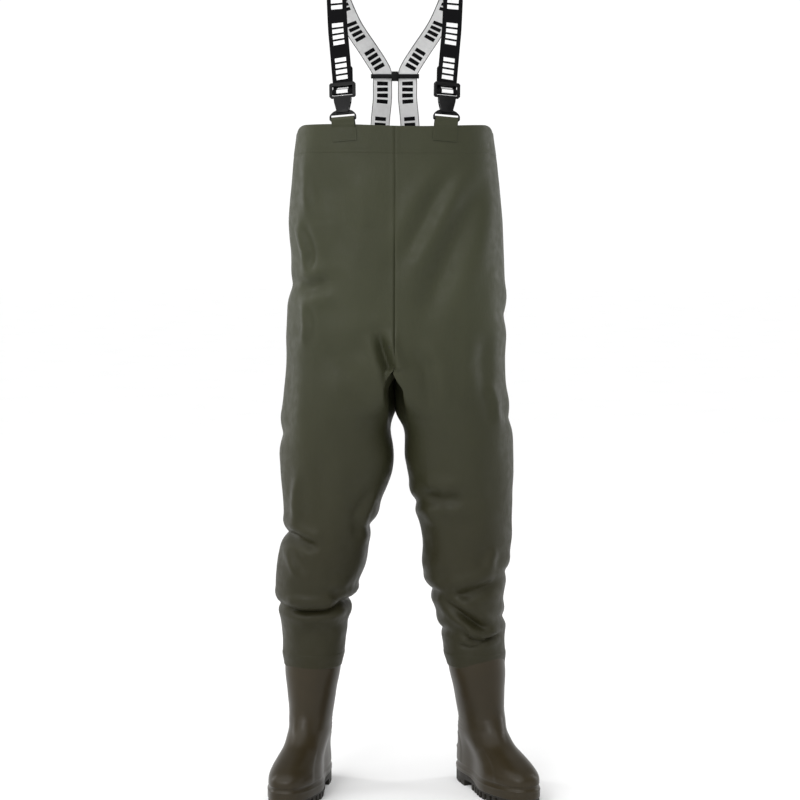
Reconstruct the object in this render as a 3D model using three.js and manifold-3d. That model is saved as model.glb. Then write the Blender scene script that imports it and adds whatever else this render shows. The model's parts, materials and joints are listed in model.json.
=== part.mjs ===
// Chest waders: a bib and two legs of coated fabric, welded to a pair of moulded boots, and held up by
// elastic braces with side-release buckles. Millimetres, +Z up. The wearer faces -Y, so the wearer's
// right side is at negative X. Everything is drawn about the middle of the bib, and the finished group
// is then moved so that its origin lies under the middle of its box, on the ground.
import * as THREE from "three";
import { mergeVertices } from "three/addons/utils/BufferGeometryUtils.js";
import Module from "manifold-3d";

const wasm = await Module();
wasm.setup();

// ---------------------------------------------------------------- driving dimensions
const GAP = 0.3; // air between pieces that touch
const FABRIC = 2; // wall of the coated fabric
const BIB_TOP = 1376; // top edge of the bib above the ground
const CROTCH = 890; // lowest point of the centre seam
const HEM_HEIGHT = 57; // folded band round the top of the bib
const HEM_THICKNESS = 1.4;
const SEAM_TAPE_WIDTH = 24;
const SEAM_TAPE_THICKNESS = 1;

const HIP_HEIGHT = 775; // height of the hip hinge
const HIP_SLEEVE = 110; // height of the fabric that creases at the hip
const KNEE_HEIGHT = 500;
const KNEE_SLEEVE = 120;
const LEG_END = 262; // lower edge of the fabric, on the boot shaft
const CUFF_BAND_HEIGHT = 26;
const CUFF_BAND_THICKNESS = 1.2;

const BOOT_INSIDE = 40; // how far the boot shaft reaches up inside the leg
const BOOT_TOP = LEG_END + BOOT_INSIDE;
const BOOT_ROOM = 3.5; // between the shaft and the fabric's inside at its lower end
const BOOT_WALL = 3.5;
const ANKLE_OUT = { right: 176, left: 181 }; // the ankle's centre from the middle plane
const TOES_OUT = { right: 14, left: 26 }; // degrees
const SHAFT_LEAN = { right: 0.04, left: 0.1 }; // how far the shaft comes in for each millimetre up
const LEAN_FROM = 150;
const BOOT_Y = 18; // the shaft's centre, behind the middle of the bib
const SOLE_THICKNESS = 30; // ground to the boot upper
const LUG_DEPTH = 13;
const LUG_LENGTH = 11;
const LUG_PITCH = 18;
const SOLE_EDGE = 4; // the sole stands this far out from the upper
const HEEL_LENGTH = 78;
const INSOLE_THICKNESS = 5;

const WEBBING_WIDTH = 40;
const WEBBING = 1.8; // thickness of the elastic webbing
const BUCKLE_X = 103; // buckles from the centre line
const BUCKLE_LEAN_BACK = 16; // degrees from upright
const BUCKLE_LEAN_OUT = 4.5;
const STRAP_LEAN_OUT = 0.07; // how far the strap goes out for each millimetre up from the buckle
const BAR_ABOVE_BIB = 9; // the socket's bar, which the tab loops round, above the bib
const SHOULDER_ABOVE_BIB = 287; // top of the strap over the shoulder
const JOINER_ABOVE_BIB = 110; // where the two straps meet behind the back
const JOINER_STRAP_X = 26.5;
const STRAP_FOOT_X = 34; // where the strap is sewn to the back of the bib
const STRAP_FOOT_BELOW = 36; // below the top edge
const TAIL_LENGTH = 45; // free end of the webbing above the buckle
const TAB_WIDTH = 46;
const TAB_DROP = 34; // how far a tab reaches down the bib

// Cross-sections of the fabric: height, centre from the middle plane, half width, half depth, centre's y
// and the squareness of the oval (2 is an ellipse).
const TORSO_SECTIONS = [
  { z: 1385, out: 0, half: 198, deep: 135, y: 0, square: 3 },
  { z: 1300, out: 0, half: 208, deep: 139, y: 0, square: 2.9 },
  { z: 1200, out: 0, half: 217, deep: 142, y: 0, square: 2.8 },
  { z: 1090, out: 0, half: 218, deep: 144, y: 0, square: 2.7 },
  { z: 960, out: 0, half: 222, deep: 146, y: 0, square: 2.6 },
  { z: 890, out: 8, half: 216, deep: 145, y: 0, square: 2.5 },
];
const LEG_SECTIONS = {
  right: [
    { z: 830, out: 76, half: 154, deep: 136, y: 0, square: 2.4 },
    { z: 780, out: 119, half: 113, deep: 127, y: 0, square: 2.3 },
    { z: 690, out: 121, half: 115, deep: 118, y: 0, square: 2.2 },
    { z: 600, out: 131, half: 98, deep: 104, y: 2, square: 2.2 },
    { z: 540, out: 138, half: 86, deep: 96, y: 4, square: 2.2 },
    { z: 470, out: 155, half: 93, deep: 95, y: 8, square: 2.2 },
    { z: 400, out: 166, half: 80, deep: 86, y: 12, square: 2.2 },
    { z: 333, out: 168, half: 66, deep: 76, y: 16, square: 2.1 },
  ],
  left: [
    { z: 830, out: 76, half: 156, deep: 136, y: 0, square: 2.4 },
    { z: 780, out: 126, half: 112, deep: 127, y: 0, square: 2.3 },
    { z: 690, out: 134, half: 109, deep: 118, y: 0, square: 2.2 },
    { z: 600, out: 141, half: 101, deep: 104, y: 2, square: 2.2 },
    { z: 540, out: 147, half: 93, deep: 97, y: 4, square: 2.2 },
    { z: 470, out: 145, half: 89, deep: 94, y: 8, square: 2.2 },
    { z: 400, out: 152, half: 75, deep: 86, y: 12, square: 2.2 },
    { z: 333, out: 161, half: 67, deep: 76, y: 16, square: 2.1 },
  ],
};
// Cross-sections of a boot upper in the boot's own frame, toe towards -Y: height, toe end, heel end, half
// width, and how far the outline has turned from a foot (0) into the oval of the shaft (1).
const BOOT_SECTIONS = [
  { z: SOLE_THICKNESS, toe: -206, heel: 78, half: 50, oval: 0 },
  { z: 46, toe: -209, heel: 80, half: 51.5, oval: 0 },
  { z: 60, toe: -204, heel: 80, half: 50.5, oval: 0 },
  { z: 72, toe: -188, heel: 79, half: 48, oval: 0.1 },
  { z: 85, toe: -157, heel: 78, half: 45, oval: 0.3 },
  { z: 100, toe: -116, heel: 76, half: 43, oval: 0.6 },
  { z: 118, toe: -90, heel: 72, half: 43.5, oval: 0.85 },
  { z: LEAN_FROM, toe: -68, heel: 66, half: 44, oval: 1 },
  { z: 200, toe: -62, heel: 63, half: 50, oval: 1 },
  { z: 250, toe: -60, heel: 60, half: 56, oval: 1 },
  { z: BOOT_TOP, toe: -60, heel: 60, half: 57, oval: 1 },
];
// The strap's way over the shoulder: distance from the middle plane, y and height above the bib. The
// straight run up from the buckle comes before it, and the joiner after it.
const SHOULDER_ROUTE = [
  [118, -48, SHOULDER_ABOVE_BIB - 14],
  [119, 4, SHOULDER_ABOVE_BIB],
  [112, 56, SHOULDER_ABOVE_BIB - 23],
  [88, 100, SHOULDER_ABOVE_BIB - 75],
  [52, 130, SHOULDER_ABOVE_BIB - 128],
];

const SIDES = [
  { name: "right", sign: -1 },
  { name: "left", sign: 1 },
];
const degrees = THREE.MathUtils.degToRad;

// ---------------------------------------------------------------- finishes
const finish = (color, roughness, metalness = 0) =>
  new THREE.MeshStandardMaterial({ color, roughness, metalness });
const COATED_FABRIC = finish(0x4b4c3e, 0.55);
const BOOT_PVC = finish(0x40392b, 0.35);
const SOLE_PVC = finish(0x2b2820, 0.6);
const FELT = finish(0x6d6a60, 0.95);
const BLACK_WEBBING = finish(0x19191b, 0.9);
const BUCKLE_PLASTIC = finish(0x161617, 0.4);

const waders = new THREE.Group();
function add(name, geometry, material, parent = waders) {
  const mesh = new THREE.Mesh(geometry, material);
  mesh.name = name;
  parent.add(mesh);
  return mesh;
}

// ---------------------------------------------------------------- solids
// A closed body through a row of rings with the same number of points, its ends closed by fans.
function loft(rings) {
  const count = rings[0].length;
  const points = rings.flat().map((p) => new THREE.Vector3(...p));
  const faces = [];
  for (let i = 0; i + 1 < rings.length; i++) {
    for (let k = 0; k < count; k++) {
      const next = (k + 1) % count;
      const [a, b] = [i * count + k, i * count + next];
      const [c, d] = [a + count, b + count];
      faces.push([a, b, d], [a, d, c]);
    }
  }
  for (const [ring, turned] of [[0, true], [rings.length - 1, false]]) {
    const start = ring * count;
    const middle = points.length;
    const centre = new THREE.Vector3();
    for (let k = 0; k < count; k++) centre.add(points[start + k]);
    points.push(centre.divideScalar(count));
    for (let k = 0; k < count; k++) {
      const [a, b] = [start + k, start + ((k + 1) % count)];
      faces.push(turned ? [middle, b, a] : [middle, a, b]);
    }
  }
  return outward(points, faces);
}

// A geometry from points and triangles, turned so that its faces point out.
function outward(points, faces) {
  const volume = faces.reduce((sum, [a, b, c]) => {
    const cross = new THREE.Vector3().crossVectors(points[b], points[c]);
    return sum + points[a].dot(cross);
  }, 0);
  const index = faces.flatMap(([a, b, c]) => (volume < 0 ? [a, c, b] : [a, b, c]));
  const geometry = new THREE.BufferGeometry();
  geometry.setFromPoints(points);
  geometry.setIndex(index);
  geometry.computeVertexNormals();
  return geometry;
}

function toSolid(geometry) {
  const bare = geometry.clone();
  bare.deleteAttribute("normal");
  bare.deleteAttribute("uv");
  const merged = mergeVertices(bare, 1e-3);
  return new wasm.Manifold(
    new wasm.Mesh({
      numProp: 3,
      vertProperties: merged.attributes.position.array,
      triVerts: new Uint32Array(merged.index.array),
    }),
  );
}

function toGeometry(solid) {
  const mesh = solid.getMesh();
  const geometry = new THREE.BufferGeometry();
  geometry.setAttribute("position", new THREE.BufferAttribute(mesh.vertProperties, 3));
  geometry.setIndex(new THREE.BufferAttribute(mesh.triVerts, 1));
  geometry.computeVertexNormals();
  return geometry;
}

const cut = (geometry, ...tools) =>
  toGeometry(tools.reduce((left, tool) => left.subtract(toSolid(tool)), toSolid(geometry)));
const join = (...geometries) =>
  toGeometry(geometries.map(toSolid).reduce((all, one) => all.add(one)));
const common = (a, b) => toGeometry(toSolid(a).intersect(toSolid(b)));
const block = (width, depth, height, x = 0, y = 0, z = 0) =>
  new THREE.BoxGeometry(width, depth, height).translate(x, y, z);

// A flat outline in x and y, extruded from one height to another.
function slab(points, low, high) {
  const shape = new THREE.Shape(points.map(([x, y]) => new THREE.Vector2(x, y)));
  const depth = high - low;
  return new THREE.ExtrudeGeometry(shape, { depth, bevelEnabled: false }).translate(0, 0, low);
}

// The same for an outline in x and z, centred on y.
function plate(points, thickness, y = 0) {
  return slab(points, -thickness / 2, thickness / 2).rotateX(Math.PI / 2).translate(0, y, 0);
}

// A flat band along a row of points. Its width lies along x, or along another direction at first, which
// has turned to x half way along.
const ALONG_X = new THREE.Vector3(1, 0, 0);
function band(points, width, thickness, firstAcross = ALONG_X) {
  const rings = points.map((point, i) => {
    const before = points[Math.max(i - 1, 0)];
    const after = points[Math.min(i + 1, points.length - 1)];
    const along = after.clone().sub(before).normalize();
    const turned = THREE.MathUtils.smoothstep(i / (points.length - 1), 0.18, 0.5);
    const across = firstAcross.clone().lerp(ALONG_X, turned);
    across.addScaledVector(along, -across.dot(along)).normalize();
    const out = new THREE.Vector3().crossVectors(across, along).normalize();
    return [[-1, -1], [1, -1], [1, 1], [-1, 1]].map(([u, v]) =>
      point
        .clone()
        .addScaledVector(across, (u * width) / 2)
        .addScaledVector(out, (v * thickness) / 2)
        .toArray(),
    );
  });
  return loft(rings);
}

// ---------------------------------------------------------------- fabric
const power = (value, exponent) => Math.sign(value) * Math.abs(value) ** exponent;
const RING_POINTS = 28;

// The fabric's lower end, which fits round the boot shaft.
function legEnd(side) {
  const grown = FABRIC + BOOT_ROOM;
  const above = BOOT_SECTIONS.find((s) => s.z >= LEG_END);
  const out = ANKLE_OUT[side.name] - SHAFT_LEAN[side.name] * (LEG_END - LEAN_FROM);
  const half = Math.max(above.half, -above.toe) + grown;
  return { z: LEG_END - BOOT_ROOM, out, half, deep: half + 2, y: BOOT_Y, square: 2 };
}

// The cross-section at one height, by a smooth curve through the listed ones.
function sectionAt(side, z) {
  const list = [...TORSO_SECTIONS, ...LEG_SECTIONS[side.name], legEnd(side)];
  const last = list.length - 1;
  let i = list.findIndex((s, k) => k < last && z <= s.z && z >= list[k + 1].z);
  if (i < 0) i = z > list[0].z ? 0 : last - 1;
  const [before, from, to, after] = [i - 1, i, i + 1, i + 2].map(
    (k) => list[THREE.MathUtils.clamp(k, 0, last)],
  );
  const t = THREE.MathUtils.clamp((from.z - z) / (from.z - to.z), 0, 1);
  const slope = (a, b, key) => ((b[key] - a[key]) / (a.z - b.z || 1)) * (from.z - to.z);
  const found = {};
  for (const key of ["out", "half", "deep", "y", "square"]) {
    const [start, end] = [slope(before, to, key), slope(from, after, key)];
    const [t2, t3] = [t * t, t * t * t];
    found[key] =
      (2 * t3 - 3 * t2 + 1) * from[key] +
      (t3 - 2 * t2 + t) * start +
      (3 * t2 - 2 * t3) * to[key] +
      (t3 - t2) * end;
  }
  return found;
}

// One ring of the fabric, grown by a distance, and never nearer the middle plane than the given one.
function fabricRing(side, z, grown, nearest) {
  const s = sectionAt(side, z);
  return Array.from({ length: RING_POINTS }, (_, k) => {
    const angle = (2 * Math.PI * k) / RING_POINTS;
    const out = s.out + (s.half + grown) * power(Math.cos(angle), 2 / s.square);
    const y = s.y + (s.deep + grown) * power(Math.sin(angle), 2 / s.square);
    return [side.sign * Math.max(out, nearest), y, z];
  });
}

const heights = (high, low, step) => {
  const count = Math.max(1, Math.round((high - low) / step));
  return Array.from({ length: count + 1 }, (_, i) => high + ((low - high) * i) / count);
};
const PAST = 5; // how far a cutting body runs past what it cuts

// A stretch of one side's fabric between two heights, open at both ends, and open to the other side
// above the crotch.
function fabricShell(side, high, low, step, grown = 0, wall = FABRIC) {
  const closedFrom = CROTCH - wall;
  const outer = heights(high, low, step).map((z) => fabricRing(side, z, grown, GAP / 2));
  const levels = [high + PAST, ...heights(high, low, step).slice(1, -1), low - PAST];
  if (high > CROTCH && low < closedFrom) levels.push(CROTCH, closedFrom);
  levels.sort((a, b) => b - a);
  const inner = levels.map((z) => {
    const nearest = z >= CROTCH ? -PAST : GAP / 2 + wall;
    return fabricRing(side, z, grown - wall, nearest);
  });
  return cut(loft(outer), loft(inner));
}

const hipTop = HIP_HEIGHT + HIP_SLEEVE / 2;
const hipLow = HIP_HEIGHT - HIP_SLEEVE / 2;
const kneeTop = KNEE_HEIGHT + KNEE_SLEEVE / 2;
const kneeLow = KNEE_HEIGHT - KNEE_SLEEVE / 2;
for (const side of SIDES) {
  const stretches = [
    ["body_half", BIB_TOP, hipTop, 62],
    ["hip_sleeve", hipTop - GAP, hipLow, 37],
    ["thigh_sleeve", hipLow - GAP, kneeTop, 53],
    ["knee_sleeve", kneeTop - GAP, kneeLow, 40],
    ["shin_sleeve", kneeLow - GAP, LEG_END, 27],
  ];
  for (const [name, high, low, step] of stretches) {
    add(`${side.name}_${name}`, fabricShell(side, high, low, step), COATED_FABRIC);
  }
  const cuffGrown = 2 * GAP + CUFF_BAND_THICKNESS;
  const cuffTop = LEG_END + CUFF_BAND_HEIGHT;
  const cuff = fabricShell(side, cuffTop, LEG_END, CUFF_BAND_HEIGHT, cuffGrown, CUFF_BAND_THICKNESS);
  add(`${side.name}_cuff_band`, cuff, COATED_FABRIC);
}

// The whole oval of the bib, for the hem that runs round both halves.
function bibRing(z, grown) {
  const s = sectionAt(SIDES[0], z);
  return Array.from({ length: 2 * RING_POINTS }, (_, k) => {
    const angle = (Math.PI * k) / RING_POINTS;
    const x = (s.half + grown) * power(Math.cos(angle), 2 / s.square);
    return [x, (s.deep + grown) * power(Math.sin(angle), 2 / s.square), z];
  });
}
const hemOut = GAP + HEM_THICKNESS;
const hemBottom = BIB_TOP - HEM_HEIGHT;
const hemOuter = loft([BIB_TOP, hemBottom].map((z) => bibRing(z, hemOut)));
const hemInner = loft([BIB_TOP + PAST, hemBottom - PAST].map((z) => bibRing(z, GAP)));
add("top_hem", cut(hemOuter, hemInner), COATED_FABRIC);

// Tapes over the inside of the centre seams.
for (const [name, sign] of [["front_seam_tape", -1], ["back_seam_tape", 1]]) {
  const inset = FABRIC + 7 * GAP + SEAM_TAPE_THICKNESS / 2;
  const points = heights(BIB_TOP - 6, CROTCH + 40, 62).map((z) => {
    const s = sectionAt(SIDES[0], z);
    return new THREE.Vector3(0, sign * (s.deep - inset), z);
  });
  add(name, band(points, SEAM_TAPE_WIDTH, SEAM_TAPE_THICKNESS), COATED_FABRIC);
}

// ---------------------------------------------------------------- boots
const FOOT_POINTS = 32;

// Half width of a foot outline at a share of the way from heel to toe, as a share of its widest.
function footWidth(share) {
  const ball = THREE.MathUtils.smoothstep(share, 0.35, 0.68);
  const waist = Math.exp(-(((share - 0.4) / 0.14) ** 2));
  return 0.76 + 0.24 * ball - 0.05 * waist;
}

// One ring of a boot, grown by a distance.
function bootRing(section, grown, z = section.z, lean = 0) {
  const middle = (section.heel + section.toe) / 2;
  const long = (section.heel - section.toe) / 2 + grown;
  return Array.from({ length: FOOT_POINTS }, (_, k) => {
    const angle = (2 * Math.PI * k) / FOOT_POINTS;
    const share = (1 - Math.cos(angle)) / 2;
    const foot = power(Math.sin(angle), 0.72) * footWidth(share);
    const across = THREE.MathUtils.lerp(foot, Math.sin(angle), section.oval);
    const x = (section.half + grown) * across + lean * Math.max(z - LEAN_FROM, 0);
    return [x, middle + long * Math.cos(angle), z];
  });
}

function bootUpper(lean) {
  const outer = loft(BOOT_SECTIONS.map((s) => bootRing(s, 0, s.z, lean)));
  const floor = SOLE_THICKNESS + BOOT_WALL;
  const above = BOOT_SECTIONS.slice(1);
  const inner = [bootRing(BOOT_SECTIONS[0], -BOOT_WALL, floor)];
  for (const s of above) inner.push(bootRing(s, -BOOT_WALL, s.z, lean));
  inner.push(bootRing(above.at(-1), -BOOT_WALL, BOOT_TOP + PAST, lean));
  return cut(outer, loft(inner));
}

// The moulded sole: a plate under the whole boot, and bars across it that stand on the ground.
function outsole() {
  const [base] = BOOT_SECTIONS;
  const outline = bootRing(base, SOLE_EDGE).map(([x, y]) => [x, y]);
  const sole = slab(outline, LUG_DEPTH, SOLE_THICKNESS - GAP);
  const tread = slab(outline, 0, LUG_DEPTH + 1);
  const heelEnd = base.heel + SOLE_EDGE;
  const width = 3 * base.half;
  const bars = [block(width, HEEL_LENGTH - LUG_LENGTH, 4 * LUG_DEPTH, 0, heelEnd - HEEL_LENGTH / 2)];
  const first = heelEnd - HEEL_LENGTH - 2.2 * LUG_PITCH;
  for (let y = first; y > base.toe - SOLE_EDGE; y -= LUG_PITCH) {
    bars.push(block(width, LUG_LENGTH, 4 * LUG_DEPTH, 0, y));
  }
  const lugs = bars.map((bar) => common(tread, bar));
  return join(sole, ...lugs);
}

for (const side of SIDES) {
  const boot = new THREE.Group();
  boot.position.set(side.sign * ANKLE_OUT[side.name], BOOT_Y, 0);
  boot.rotation.z = degrees(side.sign * TOES_OUT[side.name]);
  waders.add(boot);
  add(`${side.name}_boot_upper`, bootUpper(-side.sign * SHAFT_LEAN[side.name]), BOOT_PVC, boot);
  add(`${side.name}_boot_sole`, outsole(), SOLE_PVC, boot);
  const bed = SOLE_THICKNESS + BOOT_WALL + GAP;
  const outline = bootRing(BOOT_SECTIONS[0], -BOOT_WALL - 1).map(([x, y]) => [x, y]);
  add(`${side.name}_insole`, slab(outline, bed, bed + INSOLE_THICKNESS), FELT, boot);
}

// ---------------------------------------------------------------- buckles
// In the buckle's own frame the strap runs up +Z from the socket's bar at the origin, and -Y is the front.
const BAR = 4; // the socket's bar is this thick
const RING_THICKNESS = 5;
const LOOP_INNER = Math.hypot(RING_THICKNESS, BAR) / 2 + GAP; // the tab's loop round the bar
const LOOP_OUTER = LOOP_INNER + FABRIC;
const SLOT_WIDTH = TAB_WIDTH + 2;
const SLOT_TOP = LOOP_OUTER + 4.5;
const RING_HALF = SLOT_WIDTH / 2 + 3;
const SOCKET_TOP = 45;
const SOCKET_THICKNESS = 12;
const SOCKET_WALL = 2.2;
const MOUTH_HALF = 17.5; // half width of the socket at its mouth
const NECK_HALF = 12.5; // and at its narrow end
const NECK_HEIGHT = SLOT_TOP + 9;
const FRAME_WIDTH = 53;
const FRAME_HEIGHT = 31;
const FRAME_THICKNESS = 6;
const FRAME_END = 3.5; // material at the frame's two ends
const FRAME_TOP_BAR = 7;
const FRAME_SLOT = 5.5; // the lower slot
const FRAME_BAR = 4; // the bar that the webbing turns round
const TONGUE_WIDTH = 6;
const PRONG_THICKNESS = 3;
const PRONG_ROOT_X = 10.5;
const PRONG_LENGTH = 21;
const BARB = 2.4; // how far the prong's tip stands out through the socket's side

const mirrored = (points) => [...points, ...points.map(([x, z]) => [-x, z]).reverse()];
const frameLow = SOCKET_TOP + GAP;
const frameTop = frameLow + FRAME_HEIGHT;
const frameBarLow = frameLow + FRAME_END + FRAME_SLOT;
const frameBarTop = frameBarLow + FRAME_BAR;
const cavity = SOCKET_THICKNESS - 2 * SOCKET_WALL;

function socket() {
  const trunk = plate(
    mirrored([
      [MOUTH_HALF, SOCKET_TOP],
      [MOUTH_HALF - 1, SOCKET_TOP - 10],
      [NECK_HALF, NECK_HEIGHT],
      [NECK_HALF, SLOT_TOP + 3],
    ]),
    SOCKET_THICKNESS,
  );
  const ring = plate(
    mirrored([
      [NECK_HALF, NECK_HEIGHT],
      [NECK_HALF + 7, SLOT_TOP + 6],
      [RING_HALF - 2, SLOT_TOP + 1],
      [RING_HALF, SLOT_TOP - 3],
      [RING_HALF, 0],
      [RING_HALF - 2, -BAR / 2],
    ]),
    RING_THICKNESS,
  );
  const slotHeight = SLOT_TOP - BAR / 2;
  const slot = block(SLOT_WIDTH, 3 * RING_THICKNESS, slotHeight, 0, 0, SLOT_TOP - slotHeight / 2);
  const inside = MOUTH_HALF - SOCKET_WALL;
  const hollow = plate(
    mirrored([
      [inside, SOCKET_TOP + PAST],
      [inside, SOCKET_TOP - 9],
      [NECK_HALF - SOCKET_WALL + 1, NECK_HEIGHT + 3],
    ]),
    cavity,
  );
  const windowHeight = 12;
  const windowAt = frameLow - PRONG_LENGTH - 1 + windowHeight / 2;
  const window = block(3 * MOUTH_HALF, cavity, windowHeight, 0, 0, windowAt);
  return cut(join(trunk, ring), slot, hollow, window);
}

function plug() {
  const half = FRAME_WIDTH / 2;
  const corner = 3;
  const frame = plate(
    mirrored([
      [half - corner, frameTop],
      [half, frameTop - corner],
      [half, frameLow + corner],
      [half - corner, frameLow],
    ]),
    FRAME_THICKNESS,
  );
  const opening = WEBBING_WIDTH + 2;
  const slots = [
    [frameLow + FRAME_END, frameBarLow],
    [frameBarTop, frameTop - FRAME_TOP_BAR],
  ].map(([low, high]) => block(opening, 3 * FRAME_THICKNESS, high - low, 0, 0, (low + high) / 2));
  const reach = PRONG_LENGTH - 4;
  const tongue = block(TONGUE_WIDTH, cavity - 2, reach + 1, 0, 0, frameLow + (1 - reach) / 2);
  return join(cut(frame, ...slots), tongue);
}

// One spring arm of the plug, on the +x or the -x side of the buckle.
function prong(sign) {
  const outer = PRONG_ROOT_X + PRONG_THICKNESS / 2;
  const inner = outer - PRONG_THICKNESS;
  const tip = frameLow - PRONG_LENGTH;
  const barb = tip + 8;
  const side = THREE.MathUtils.mapLinear(barb, NECK_HEIGHT, SOCKET_TOP - 10, NECK_HALF, MOUTH_HALF - 1);
  const outline = [
    [outer, frameLow - GAP],
    [outer, barb + 1],
    [side + BARB - 2, barb],
    [side - 3.6, tip],
    [inner - 2, tip],
    [inner, barb + 1],
    [inner, frameLow - GAP],
  ];
  return plate(outline.map(([x, z]) => [sign * x, z]), cavity - 2);
}

// The webbing's turn round the frame's bar: down through the upper slot, over the bar's front, back
// through the lower slot and up behind the strap.
const strapBack = FRAME_THICKNESS / 2 + GAP + WEBBING / 2; // the strap lies on the frame's back
const tailBack = strapBack + WEBBING + 2 * GAP;
const turnTop = frameTop - FRAME_TOP_BAR - 2;
function strapTurn() {
  const front = -(FRAME_THICKNESS / 2 + GAP + WEBBING / 2);
  const clear = GAP + WEBBING / 2;
  const points = [
    [strapBack, turnTop],
    [strapBack - 1.5, turnTop - 2.5],
    [front, frameBarTop + clear],
    [front, frameBarLow - clear],
    [strapBack, frameBarLow - clear - 0.6],
    [tailBack, frameBarLow + 1],
    [tailBack, turnTop],
  ].map(([y, z]) => new THREE.Vector3(0, y, z));
  return band(points, WEBBING_WIDTH, WEBBING);
}

// The fabric's face in front of a place on the bib: how deep it lies, and how far it has turned.
function wallAt(x, z, grown) {
  const s = sectionAt(SIDES[0], z);
  const [half, deep] = [s.half + grown, s.deep + grown];
  const share = 1 - (x / half) ** s.square;
  const slope = (deep / half) * (x / half) ** (s.square - 1) * share ** (1 / s.square - 1);
  return { deep: deep * share ** (1 / s.square), turned: Math.atan(slope) };
}
const tabAt = wallAt(BUCKLE_X, BIB_TOP, hemOut); // the hem's face where the tab crosses it
const tabClear = GAP + FABRIC / 2;
const tabFoot = wallAt(BUCKLE_X, BIB_TOP - TAB_DROP, hemOut).deep - tabAt.deep;
const tabEdge = wallAt(BUCKLE_X + TAB_WIDTH / 2, BIB_TOP, hemOut); // the face has curved back here
const tabCurve = tabAt.deep - tabEdge.deep - (Math.tan(tabAt.turned) * TAB_WIDTH) / 2;

// Up the front of the hem, round the socket's bar, and down inside the bib.
function frontTab() {
  const radius = (LOOP_INNER + LOOP_OUTER) / 2;
  const foot = -(BAR_ABOVE_BIB + TAB_DROP);
  const inside = hemOut + FABRIC + Math.abs(tabCurve) + 2;
  const points = [
    [-(tabFoot + tabClear + 0.6), foot],
    [-(tabClear + 0.6), -BAR_ABOVE_BIB],
  ];
  const steps = 6;
  for (let i = 0; i <= steps; i++) {
    const angle = Math.PI * (1 - i / steps);
    points.push([hemOut / 2 + radius * Math.cos(angle), radius * Math.sin(angle)]);
  }
  points.push([inside + tabClear, -BAR_ABOVE_BIB], [inside + tabClear, foot]);
  return band(points.map(([y, z]) => new THREE.Vector3(0, y, z)), TAB_WIDTH, FABRIC);
}

// The patch that the strap is sewn to, on the back of the hem, and the strap's way down to it.
const patchHeight = STRAP_FOOT_BELOW + 2;
const patchInner = STRAP_FOOT_X - TAB_WIDTH / 2;
const patchY = wallAt(patchInner, BIB_TOP - STRAP_FOOT_BELOW - 4, hemOut).deep + GAP + FABRIC / 2;
const strapFootY = patchY + FABRIC / 2 + GAP + WEBBING / 2;
const joinerY = strapFootY - 4;
const backRoute = [
  [JOINER_STRAP_X + 3, joinerY - 2, JOINER_ABOVE_BIB + 22],
  [JOINER_STRAP_X, joinerY, JOINER_ABOVE_BIB],
  [JOINER_STRAP_X + 1, joinerY + 1.2, JOINER_ABOVE_BIB - 24],
  [STRAP_FOOT_X - 3, strapFootY, 24],
  [STRAP_FOOT_X, strapFootY, -STRAP_FOOT_BELOW],
];

for (const side of SIDES) {
  const tab = new THREE.Group();
  tab.position.set(side.sign * BUCKLE_X, -tabAt.deep, BIB_TOP + BAR_ABOVE_BIB);
  tab.rotation.set(0, degrees(side.sign * BUCKLE_LEAN_OUT), side.sign * tabAt.turned, "ZYX");
  waders.add(tab);
  add(`${side.name}_front_tab`, frontTab(), COATED_FABRIC, tab);

  const buckle = new THREE.Group();
  buckle.position.set(0, hemOut / 2, 0);
  buckle.rotation.x = -degrees(BUCKLE_LEAN_BACK);
  tab.add(buckle);
  add(`${side.name}_buckle_socket`, socket(), BUCKLE_PLASTIC, buckle);
  add(`${side.name}_buckle_plug`, plug(), BUCKLE_PLASTIC, buckle);
  add(`${side.name}_outer_prong`, prong(side.sign), BUCKLE_PLASTIC, buckle);
  add(`${side.name}_inner_prong`, prong(-side.sign), BUCKLE_PLASTIC, buckle);
  add(`${side.name}_strap_turn`, strapTurn(), BLACK_WEBBING, buckle);
  const tailLow = turnTop + GAP;
  const tail = block(WEBBING_WIDTH, WEBBING, TAIL_LENGTH, 0, tailBack, tailLow + TAIL_LENGTH / 2);
  add(`${side.name}_strap_tail`, tail, BLACK_WEBBING, buckle);

  // The strap: straight up from the buckle's back, over the shoulder, through the joiner, to the back.
  buckle.updateWorldMatrix(true, false);
  const strapLow = turnTop + GAP + WEBBING + (STRAP_LEAN_OUT * WEBBING_WIDTH) / 2;
  const straight = [0, 30, 60, 90, 120].map((z) =>
    buckle.localToWorld(new THREE.Vector3(side.sign * STRAP_LEAN_OUT * z, strapBack, strapLow + z)),
  );
  const over = [...SHOULDER_ROUTE, ...backRoute].map(
    ([x, y, z]) => new THREE.Vector3(side.sign * x, y, BIB_TOP + z),
  );
  const curve = new THREE.CatmullRomCurve3([...straight, ...over], false, "centripetal");
  const across = ALONG_X.clone().transformDirection(buckle.matrixWorld);
  const strap = band(curve.getSpacedPoints(44), WEBBING_WIDTH, WEBBING, across);
  add(`${side.name}_strap`, strap, BLACK_WEBBING);

  const patchAt = [side.sign * STRAP_FOOT_X, patchY, BIB_TOP - 2 - patchHeight / 2];
  add(`${side.name}_back_patch`, block(TAB_WIDTH, FABRIC, patchHeight, ...patchAt), COATED_FABRIC);
}

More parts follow.
